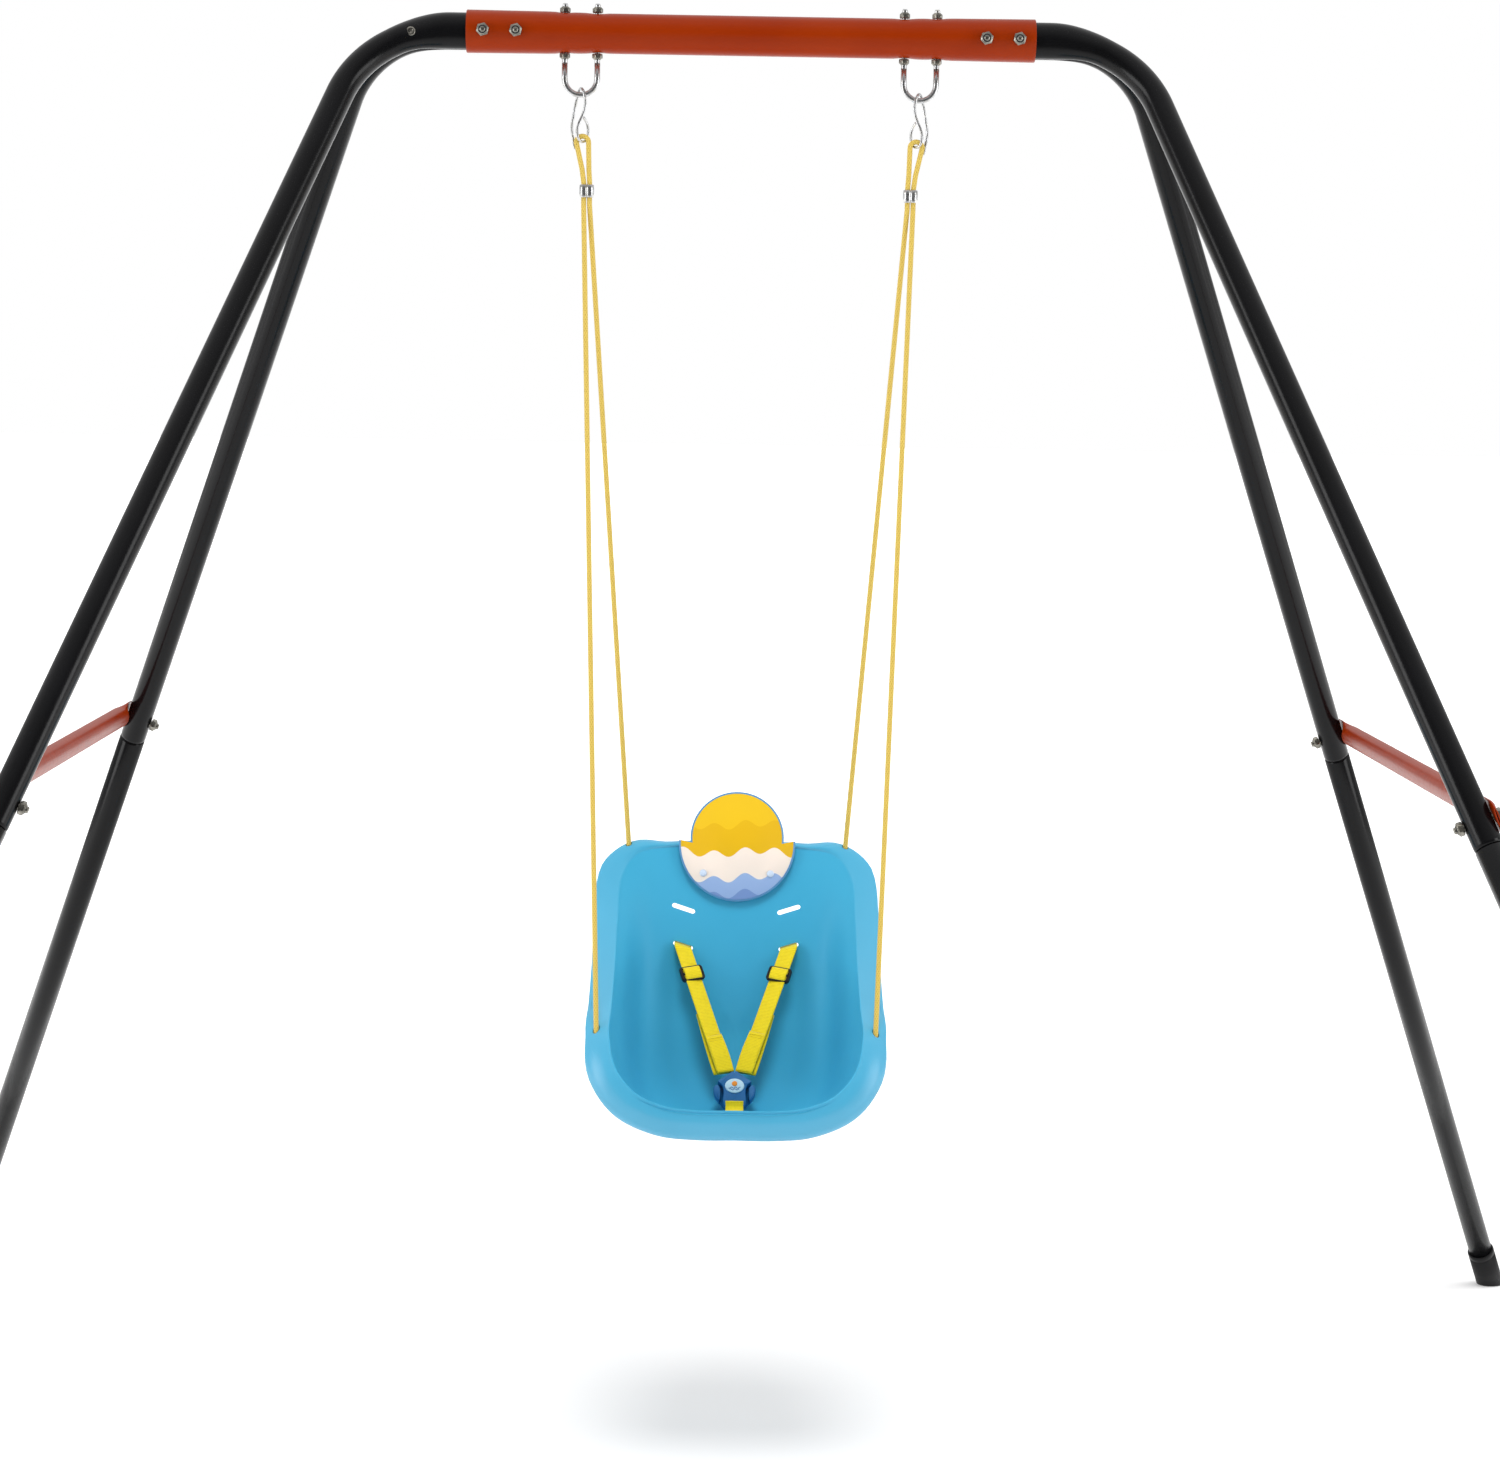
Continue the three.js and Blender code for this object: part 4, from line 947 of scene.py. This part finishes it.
for side_name, sx in SIDES.items():
    spine = [Vector((sx * (U_BOLT_X - inward), back, U_BOLT_BOTTOM_Z + rise))
             for inward, back, rise in HOOK_POINTS]
    hook_path = spline(spine, 8)
    taper = [1.0] * len(hook_path)
    taper[0] = taper[-1] = 0.55
    taper[1] = taper[-2] = 0.9
    hook = sweep(f"wire_hook_{side_name}", hook_path,
                 lambda k: circle(HOOK_WIRE * taper[k], 16), (0, 1, 0), BRIGHT)
    stand_for(hook, "swing", f"hook_{side_name}")

    route = rope_route(sx)
    cord = sweep("cord", route, circle(ROPE_RADIUS, 16), (0, 1, 0), ROPE)
    low = knot("low", route[0], route[1] - route[0], ROPE)
    high = knot("high", route[-1], route[-2] - route[-1], ROPE)
    rope = join(f"cord_{side_name}", cord, low, high)
    stand_for(rope, "swing", f"rope_{side_name}")

    # Ferrule: two smooth barrels side by side.
    barrels = []
    for x in (FERRULE_X + STRAND_OFFSET, FERRULE_X - STRAND_OFFSET):
        shell, bore = ROPE_RADIUS + 1.45, ROPE_RADIUS + GAP
        height = FERRULE_TOP - FERRULE_BOTTOM - 1
        profile = [(bore, 0), (shell - 0.6, 0), (shell - 0.1, 0.5), (shell + 0.1, height * 0.3)]
        profile += [(shell + 0.1, height * 0.7), (shell - 0.1, height - 0.5), (shell - 0.6, height)]
        profile += [(bore, height), (bore, 0)]
        barrels.append(lathe("barrel", profile, (sx * x, 0, FERRULE_BOTTOM + 0.5), (0, 0, 1), BRIGHT, 32))
    ferrule = join(f"crimp_{side_name}", *barrels)
    stand_for(ferrule, "swing", f"rope_ferrule_{side_name}")


# ---- Seat shell
# Right half of the seat's inner face as rings, each from the middle of the back's
# top edge, down the side and along the front lip to its middle.
CREST = [
    (0, 90, 531), (58, 89, 531), (88, 83, 526), (102, 71, 508), (105, 43, 475), (106, 1, 440),
    (107.5, -47, 410), (108.5, -83, 391), (102, -101, 366), (85, -110, 347), (60, -115, 337),
    (34, -116, 334), (0, -116, 334),
]
WALL = [
    (0, 84, 512), (50, 83.5, 512), (77, 78, 508), (91, 66, 492), (96, 43, 464), (98, 11, 434),
    (99, -23, 400), (99, -53, 371), (93, -71, 345), (77, -87, 326), (55, -97, 317),
    (31, -100, 315), (0, -100, 315),
]
CORNER_ROW = [
    (0, 77, 486), (38, 77, 486), (60, 73, 482), (72, 65, 468), (77, 55, 446), (80, 43, 420),
    (81, 25, 386), (80, 3, 350), (73, -21, 325), (58, -45, 311), (40, -59, 308),
    (22, -63, 307.5), (0, -63, 307.5),
]
PANEL = [
    (0, 67, 452), (20, 67, 452), (34, 66, 449), (42, 63.5, 441), (46, 60, 428), (48, 55, 408),
    (48, 46, 380), (46, 32, 348), (40, 15, 325), (30, -5, 312), (20, -17, 308),
    (10, -21, 307), (0, -21, 307),
]
PANEL_MIDDLE = Vector((0, 52, 400))
RIM_WIDTH = [5, 4.5, 11, 20, 21.5, 20.5, 20, 20.5, 26, 28.5, 28.5, 28, 28]
RIM_BACK = [9, 9, 13, 15, 15, 15, 15, 17, 19, 20, 20, 20, 20]
RIM_SLANT = [0, 0, 0.5, 1, 1, 1, 1, 0.8, 0.35, 0.1, 0, 0, 0]
SEAT_AROUND = 144
SEAT_MIDDLE_Z = 430
COLUMN_STEPS = 6        # mesh rows from one ring to the next
RINGS_OUTSIDE_CREST = 5
SMOOTHING_PASSES = 14


def resample(points, count):
    """Even samples of a closed polyline's parameter, as many as asked for."""
    total = len(points)
    result = []
    for i in range(count):
        at = i / count * total
        k = int(at)
        result.append(points[k % total].lerp(points[(k + 1) % total], at - k))
    return result


def full_ring(row, mirror=-1):
    """A whole ring of even samples from its right half; mirror is the sign of x on the left."""
    right_half = [Vector(p) for p in row]
    left_half = [Vector((p.x * mirror, p.y, p.z)) for p in reversed(right_half[1:-1])]
    return resample(spline(right_half + left_half, 12, closed=True), SEAT_AROUND)


def build_seat():
    """The bucket: rings from the rim's outer edge to the middle of the back, with an even wall behind."""
    crest = full_ring(CREST)
    rim = full_ring(list(zip(RIM_WIDTH, RIM_BACK, RIM_SLANT)), mirror=1)

    def flange(width_part, curled, slanted):
        """A ring outside the crest: how far out, and how far back on a curled and on a slanted rim."""
        row = []
        for i, point in enumerate(crest):
            along = (crest[(i + 1) % SEAT_AROUND] - crest[i - 1]).normalized()
            out = Vector((along.z, 0, -along.x)).normalized()
            if out.x * point.x + out.z * (point.z - SEAT_MIDDLE_Z) < 0:
                out = -out
            width, back, slant = rim[i]
            row.append(point + out * width * width_part + Vector((0, back * mix(curled, slanted, slant), 0)))
        return row

    wall = full_ring(WALL)
    keys = [flange(0.96, 1, 1), flange(1, 0.5, 0.8), flange(0.8, 0.1, 0.58), flange(0.45, -0.06, 0.28),
            flange(0.12, -0.03, 0.05), crest, [a.lerp(b, 0.14) for a, b in zip(crest, wall)],
            wall, full_ring(CORNER_ROW), full_ring(PANEL)]
    columns = [spline([row[i] for row in keys] + [PANEL_MIDDLE], COLUMN_STEPS) for i in range(SEAT_AROUND)]
    depth = len(columns[0])
    points = np.array([[tuple(p) for p in column] for column in columns])
    rows = np.ascontiguousarray(points.transpose(1, 0, 2))
    # Inside the last ring the shell runs straight across: its height and depth follow one
    # profile, the same as at the ring's two sides.
    edge = depth - 1 - COLUMN_STEPS
    half = rows[edge][:SEAT_AROUND // 2 + 1]
    steps = np.linalg.norm(np.diff(half[:, 1:], axis=0), axis=1)
    run = np.concatenate([[0], np.cumsum(steps)])
    ring_run = np.concatenate([run, run[-2:0:-1]])
    middle_run = run[-1] * 0.42
    for j in range(edge + 1, depth):
        t = (j - edge) / (depth - 1 - edge)
        at = ring_run * (1 - t) + middle_run * t
        rows[j][:, 0] = rows[edge][:, 0] * (1 - t)
        rows[j][:, 1] = np.interp(at, run, half[:, 1])
        rows[j][:, 2] = np.interp(at, run, half[:, 2])
    # Ease the change of slope at that ring.
    for _ in range(SMOOTHING_PASSES):
        for j in range(edge - 5, depth - 1):
            beside = (np.roll(rows[j], 1, 0) + np.roll(rows[j], -1, 0)) / 2
            rows[j] = rows[j] * 0.5 + (rows[j - 1] + rows[j + 1]) * 0.2 + beside * 0.1
        rows[depth - 1] = rows[depth - 2].mean(0)
    normals = np.zeros_like(rows)
    for j in range(depth):
        before, after = rows[max(j - 1, 0)], rows[min(j + 1, depth - 1)]
        ring = np.roll(rows[j], -1, 0) - np.roll(rows[j], 1, 0)
        if j == depth - 1:
            ring = np.roll(rows[j - 1], -1, 0) - np.roll(rows[j - 1], 1, 0)
        cross = np.cross(ring, after - before)
        normals[j] = cross / np.maximum(np.linalg.norm(cross, axis=1, keepdims=True), 1e-9)
    sign = 1 if normals[depth // 2, 0, 1] > 0 else -1
    normals *= sign
    normals[-1] = normals[-2].mean(0) / np.linalg.norm(normals[-2].mean(0))
    back = rows + normals * SEAT_WALL
    vertices = []
    faces = []
    ring_of = []
    crest_row = COLUMN_STEPS * RINGS_OUTSIDE_CREST
    uvs = []
    for skin in (rows, back):
        start = []
        for j in range(depth - 1):
            start.append(len(vertices))
            vertices += [tuple(p) for p in skin[j]]
            rim_part = min(max((crest_row + 3 - j) / 6, 0), 1)
            uvs += [(i / SEAT_AROUND, rim_part) for i in range(SEAT_AROUND)]
        pole = len(vertices)
        vertices.append(tuple(skin[-1].mean(0)))
        uvs.append((0.5, 0))
        ring_of.append(start)
        for i in range(SEAT_AROUND):
            n = (i + 1) % SEAT_AROUND
            for a, b in zip(start, start[1:]):
                faces.append((a + i, a + n, b + n, b + i))
            faces.append((start[-1] + i, start[-1] + n, pole))
    faces += band(ring_of[0][0], ring_of[1][0], SEAT_AROUND)
    return make("bucket_seat", vertices, faces, SEAT, uvs=uvs)


def rounded_outline(width, height, tilt):
    """A round-ended slot's outline."""
    points = []
    for centre_x, first in ((width / 2 - height / 2, -90), (-(width / 2 - height / 2), 90)):
        for k in range(9):
            angle = math.radians(first + 180 * k / 8)
            points.append((centre_x + height / 2 * math.cos(angle), height / 2 * math.sin(angle)))
    return rotated(points, tilt)


def cutter(outline, centre, depth):
    """A bar through the back with the outline's section, given as (across, up) pairs."""
    rings = [[Vector(centre) + Vector((x, y, z)) for x, z in outline] for y in (-depth / 2, depth / 2)]
    return loft("cutter", rings, SEAT)


seat = build_seat()
for sx in (-1, 1):
    for z, spare in ((UPPER_SLOT_Z, 6.5), (STRAP_TOP.z, 3.4)):
        slot = rounded_outline(STRAP_WIDTH + spare, SLOT_HEIGHT, sx * SLOT_TILT)
        carve(seat, cutter(slot, (sx * STRAP_TOP.x, SLOT_Y, z), 60))
    for hole, strand in ((FRONT_HOLE, STRAND_OFFSET), (REAR_HOLE, -STRAND_OFFSET)):
        at = Vector((sx * hole[0], hole[1], hole[2]))
        top = Vector((sx * (FERRULE_X + strand), 0, FERRULE_BOTTOM - 5))
        way = (top - at).normalized()
        carve(seat, rod("hole", ROPE_RADIUS + 0.9, at - way * 22, at + way * 22, 32, SEAT))
pan_slot = rounded_outline(STRAP_WIDTH + 5, 5, 0)
pan_rings = [[Vector((x, CROTCH_SLOT_Y + y, z)) for x, y in pan_slot] for z in (286, 326)]
carve(seat, loft("pan_cutter", pan_rings, SEAT))
bevel(seat, 0.7, 2, 50)
for polygon in seat.data.polygons:
    polygon.use_smooth = True
stand_for(seat, "swing", "seat_shell")


# ---- Badge
badge_normal = Vector((0, -math.cos(BADGE_TILT), math.sin(BADGE_TILT)))
badge_up = Vector((0, math.sin(BADGE_TILT), math.cos(BADGE_TILT)))


def on_badge(x, rise, out):
    """A point in the badge's own plane: across, up its face, and out of it."""
    return BADGE_CENTRE + Vector((x, 0, 0)) + badge_up * rise + badge_normal * out


def badge_outline(inset):
    """A disc over a wider bowl, worked out from two arcs."""
    points = []
    for k in range(49):
        angle = -0.12 + (math.pi + 0.24) * k / 48
        radius = BADGE_DISC_RADIUS - inset
        points.append((radius * math.cos(angle), radius * math.sin(angle)))
    for k in range(49):
        angle = math.pi - 0.05 + (math.pi + 0.1) * k / 48
        radius = BADGE_BOWL_RADIUS - inset
        points.append((radius * math.cos(angle), radius * math.sin(angle) - BADGE_BOWL_DROP))
    return points


def badge_layer(name, levels, material):
    """A plate on the badge, through (inset, height) levels of its outline."""
    rings = [[on_badge(x, z, out) for x, z in badge_outline(inset)] for inset, out in levels]
    return loft(name, rings, material)


plate = badge_layer("badge_plate", ((0.5, 0), (0, 0.4), (0, 1.5), (0.5, 2.0)), BADGE_EDGE)
face = badge_layer("badge_face", ((1.6, 2.0), (1.9, 2.35)), BADGE)
badge = join("badge", plate, face)
stand_for(badge, "swing", "seat_badge")
for side_name, sx in SIDES.items():
    stud = lathe(f"badge_stud_{side_name}", [
        (0, -3.0), (1.6, -3.0), (1.6, 0), (3.2, 0), (3.2, 0.5), (2.6, 1.2), (1.4, 1.6), (0, 1.7),
    ], on_badge(sx * 30, -32, 2.4), badge_normal, RIVET)
    stand_for(stud, "swing", f"badge_rivet_{side_name}")


# ---- Harness
def strap_section(width, thick, count=10):
    """A flat strap's section with soft edges, as (across, through) pairs."""
    half, lift = width / 2, thick / 2
    section = [(-half + width * k / count, -lift) for k in range(count + 1)]
    section += [(half + 0.35, -lift * 0.4), (half + 0.35, lift * 0.4)]
    section += [(half - width * k / count, lift) for k in range(count + 1)]
    section += [(-half - 0.35, lift * 0.4), (-half - 0.35, -lift * 0.4)]
    return section


def strap(name, path, across, width=STRAP_WIDTH, thick=STRAP_THICK):
    """Webbing along a path, with its UVs running across and along it."""
    section = strap_section(width, thick)
    piece = sweep(name, path, section, across, WEBBING)
    layer = piece.data.uv_layers[0]
    total = len(section)
    for loop in piece.data.loops:
        k = loop.vertex_index % total
        layer.data[loop.index].uv.x = (section[k][0] + width / 2) / width
    return piece


for side_name, sx in SIDES.items():
    top = Vector((sx * STRAP_TOP.x, STRAP_TOP.y, STRAP_TOP.z))
    bottom = Vector((sx * STRAP_BOTTOM.x, STRAP_BOTTOM.y, STRAP_BOTTOM.z))
    behind = top + Vector((0, 13, 1))
    bend = top + Vector((0, -6, -0.3))
    start = bend + (bottom - top).normalized() * 6
    across = Vector((1, 0, sx * math.tan(SLOT_TILT))).normalized()
    run = (bottom - start).normalized()
    side = (across - run * across.dot(run)).normalized()
    face_way = run.cross(side)
    if face_way.y > 0:
        face_way = -face_way
    cuff_from = 0.70 if sx < 0 else 0.67
    path = spline([behind, behind.lerp(bend, 0.5), bend, start], 6)[:-1]
    straight = [start.lerp(bottom, k / 20) for k in range(21)]
    main = strap("main", path + straight, across)
    # The doubled tail lies behind the main strap and is stitched to it near the buckle.
    away = Vector((sx, 0, 0))
    tail_path = [start.lerp(bottom, t) - face_way * (1.8 + 1.6 * math.sin(math.pi * (t - 0.5) / 0.5))
                 + away * (2.4 * (t - 0.5) / 0.5) for t in np.linspace(0.5, 1.0, 18)]
    tail = strap("tail", tail_path, side)
    # The cuff lies in front, with a little slack in its middle.
    cuff_path = []
    for t in np.linspace(cuff_from, 1.0, 14):
        slack = math.sin(math.pi * (t - cuff_from) / (1.01 - cuff_from))
        cuff_path.append(start.lerp(bottom, t) + face_way * (1.4 + 0.5 * slack) - away * 0.8 * slack)
    cuff = strap("cuff", cuff_path, side, STRAP_WIDTH - 0.4, 1.1)
    stitches = []
    for t in (cuff_from + 0.025, cuff_from + 0.045):
        at = start.lerp(bottom, t) + face_way * 2.15
        for k in range(-6, 7):
            a = at + side * (k - 0.35)
            b = at + side * (k + 0.35)
            stitch = [a, (a + b) / 2 + face_way * 0.12, b]
            stitches.append(sweep("stitch", stitch, circle(0.2, 6), run, STITCH))
    harness = join(f"harness_strap_{side_name}", main, tail, cuff, *stitches)
    stand_for(harness, "swing", f"shoulder_strap_{side_name}")

    # Ladder adjuster: a rounded frame with two windows, and the strap looped over its bar.
    place_at = start + run * ADJUSTER_DOWN
    half_w, half_h = STRAP_WIDTH / 2 + 3.2, 7.2

    def rounded_rect(w, h, r, count=6):
        points = []
        corners = ((w - r, h - r, 0), (-w + r, h - r, 90), (-w + r, -h + r, 180), (w - r, -h + r, 270))
        for cx, cy, first in corners:
            for k in range(count + 1):
                angle = math.radians(first + 90 * k / count)
                points.append((cx + r * math.cos(angle), cy + r * math.sin(angle)))
        return points

    def on_adjuster(x, y, out):
        return place_at + side * x - run * y + face_way * out

    # The frame's own section, as (inset from its edge, height above the strap's middle).
    section = [(0, -0.9), (0, 1.7), (0.7, 2.5), (2.0, 2.5), (2.7, 1.8), (2.7, -0.2), (2.0, -0.9)]
    frame_rings = []
    for inset, out in section:
        shape = rounded_rect(half_w - inset, half_h - inset, max(2.9 - inset * 0.75, 0.8))
        frame_rings.append([on_adjuster(x, y, out) for x, y in shape])
    vertices = [p for ring in frame_rings for p in ring]
    size = len(frame_rings[0])
    faces = []
    for k in range(len(section)):
        faces += band(k * size, (k + 1) % len(section) * size, size)
    frame_piece = make("ladder", vertices, faces, ADJUSTER)
    bar_piece = rod("ladder_bar", 1.1, on_adjuster(-half_w + 1.6, 0, 1.9), on_adjuster(half_w - 1.6, 0, 1.9),
                    20, ADJUSTER)
    upper_fold = [(-half_h + 1.2, 1.7), (-half_h + 2.4, 2.9), (-2, 3.5)]
    fold_points = upper_fold + [(0, 3.7)] + mirrored(upper_fold)
    fold = strap("fold", spline([on_adjuster(0, y, out) for y, out in fold_points], 4), side,
                 STRAP_WIDTH - 0.6, 1.0)
    adjuster = join(f"ladder_adjuster_{side_name}", frame_piece, bar_piece, fold)
    stand_for(adjuster, f"adjuster_{side_name}", f"strap_adjuster_{side_name}")

turn = Matrix.Rotation(-BUCKLE_RECLINE, 4, "X")
buckle_out = turn @ Vector((0, -1, 0))


def on_buckle(x, rise, out):
    """A point in the buckle's own plane: across, up its face, and out of it."""
    return BUCKLE_CENTRE + (turn @ Vector((x, -out, rise)))


# Right halves of the outlines, from top to bottom, as in the CAD model.
BODY_EDGE = [
    (1.3, 17), (14.6, 7.4), (15, 6.2), (11.6, 4), (9.9, 0.5), (9.6, -5), (10.4, -10.5), (8.8, -17),
]
TAB_EDGE = [
    (14, 3.8), (16.2, 4), (18.2, 1.8), (18.5, -1.8), (17.8, -5.6), (16, -9), (13.6, -11.4),
    (12.7, -10.2), (12.1, -5), (12.3, 0.2),
]
NOTCH_BOTTOM = 15.4


def rounded(points, radius, steps=4):
    """The closed outline with its corners turned into short curves."""
    points = [Vector((x, z, 0)) for x, z in points]
    result = []
    for k, corner in enumerate(points):
        before, after = points[k - 1], points[(k + 1) % len(points)]
        r1 = min(radius, (before - corner).length * 0.45)
        r2 = min(radius, (after - corner).length * 0.45)
        a = corner + (before - corner).normalized() * r1
        b = corner + (after - corner).normalized() * r2
        for i in range(steps + 1):
            t = i / steps
            result.append((a * (1 - t) ** 2 + corner * 2 * t * (1 - t) + b * t * t).to_2d())
    return result


def shrunk(outline, inset):
    """The outline moved inwards along its own corners."""
    result = []
    for k, point in enumerate(outline):
        along = (outline[(k + 1) % len(outline)] - outline[k - 1])
        normal = Vector((along.y, -along.x))
        if normal.length:
            normal.normalize()
        result.append(point - normal * inset)
    return result


def pillow(name, outline, levels, material):
    """A plate on the buckle whose outline pulls in by steps towards its faces."""
    area = sum(a.x * b.y - b.x * a.y for a, b in zip(outline, outline[1:] + outline[:1]))
    if area < 0:
        outline = outline[::-1]
    rings = [[on_buckle(p.x, p.y, out) for p in shrunk(outline, inset)] for inset, out in levels]
    return loft(name, rings, material)


half_t = BUCKLE_THICK / 2
whole_edge = [(0, NOTCH_BOTTOM)] + BODY_EDGE + mirrored(BODY_EDGE)
buckle = pillow("buckle", rounded(whole_edge, 1.6), [
    (0.6, -half_t), (0.3, -half_t + 0.4), (0, -half_t + 1.2), (0, half_t - 1.4), (0.12, half_t - 0.8),
    (0.35, half_t - 0.3), (0.6, half_t - 0.08), (0.75, half_t)], NAVY)
# A thin plate behind carries the tabs.
back_edge = [
    (1.3, 16.4), (14.4, 7.0), (16.6, 4.2), (17.9, 0.5), (17.7, -4.5), (15.6, -8.8), (12.6, -12), (8.6, -16.4),
]
backing = pillow("backing", rounded(back_edge + mirrored(back_edge), 1.4), [
    (0.3, -half_t + 0.05), (0, -half_t + 0.2), (0, -half_t + 0.6)], NAVY)
buckle = join("buckle_shell", buckle, backing)
stand_for(buckle, "swing", "buckle_body")

for side_name, sx in SIDES.items():
    tab_t = half_t - 0.75
    tab_outline = rounded([(sx * x, z) for x, z in TAB_EDGE], 1.8)
    pad = pillow("pad", tab_outline, [
        (0.5, -tab_t), (0.2, -tab_t + 0.3), (0, -tab_t + 1.0), (0, tab_t - 1.4), (0.15, tab_t - 0.8),
        (0.4, tab_t - 0.2), (0.6, tab_t)], NAVY)
    ribs = []
    for k in range(-2, 3):
        z = -2.8 + k * 1.9
        x = 17.9 - 0.055 * (z + 1.2) ** 2
        ribs.append(rod("rib", 0.5, on_buckle(sx * x, z, -2.3), on_buckle(sx * x, z, 2.3), 14, NAVY))
    tab = join(f"squeeze_tab_{side_name}", pad, *ribs)
    stand_for(tab, f"tab_{side_name}", f"buckle_tab_{side_name}")

MEDAL_Y, MEDAL_HALF_WIDTH, MEDAL_HALF_HEIGHT = 2.2, 8.4, 6.8
disc_rings = []
for inset, out in ((0, half_t - 0.3), (0, half_t + 0.5), (0.35, half_t + 0.9), (1.0, half_t + 1.05)):
    disc_rings.append([on_buckle((MEDAL_HALF_WIDTH - inset) * math.cos(angle),
                                 MEDAL_Y + (MEDAL_HALF_HEIGHT - inset) * math.sin(angle), out)
                       for angle in turns(48)])
disc = loft("disc", disc_rings, MEDAL)
sun_disc = lathe("sun_disc", [(0, -0.2), (2.4, -0.2), (2.4, 0.3), (2.0, 0.45), (0, 0.5)],
                 on_buckle(0, MEDAL_Y + 1.8, half_t + 1.0), buckle_out, MEDAL_SUN)
wave_lines = []
for k, rise in enumerate((MEDAL_Y - 1.9, MEDAL_Y - 3.5)):
    wave_path = [on_buckle(x, rise + 0.55 * math.sin(x * 1.7 + k), half_t + 1.05)
                 for x in np.linspace(-5.2 + k, 5.2 - k, 40)]
    wave_lines.append(sweep("wave", wave_path, circle(0.32, 8), buckle_out, NAVY))
medal = join("medallion", disc, sun_disc, *wave_lines)
stand_for(medal, "swing", "buckle_medallion")

lower = on_buckle(0, -BUCKLE_HALF_HEIGHT + 5, half_t + 0.4)
edge_out = on_buckle(0, -BUCKLE_HALF_HEIGHT - 1, half_t - 0.6)
slot_top, slot_inside = Vector((0, CROTCH_SLOT_Y + 1, 312)), Vector((0, CROTCH_SLOT_Y, 296))
crotch_path = spline([lower, edge_out, slot_top, slot_inside], 8)
crotch = strap("crotch_webbing", crotch_path, Vector((1, 0, 0)))
stand_for(crotch, "swing", "crotch_strap")
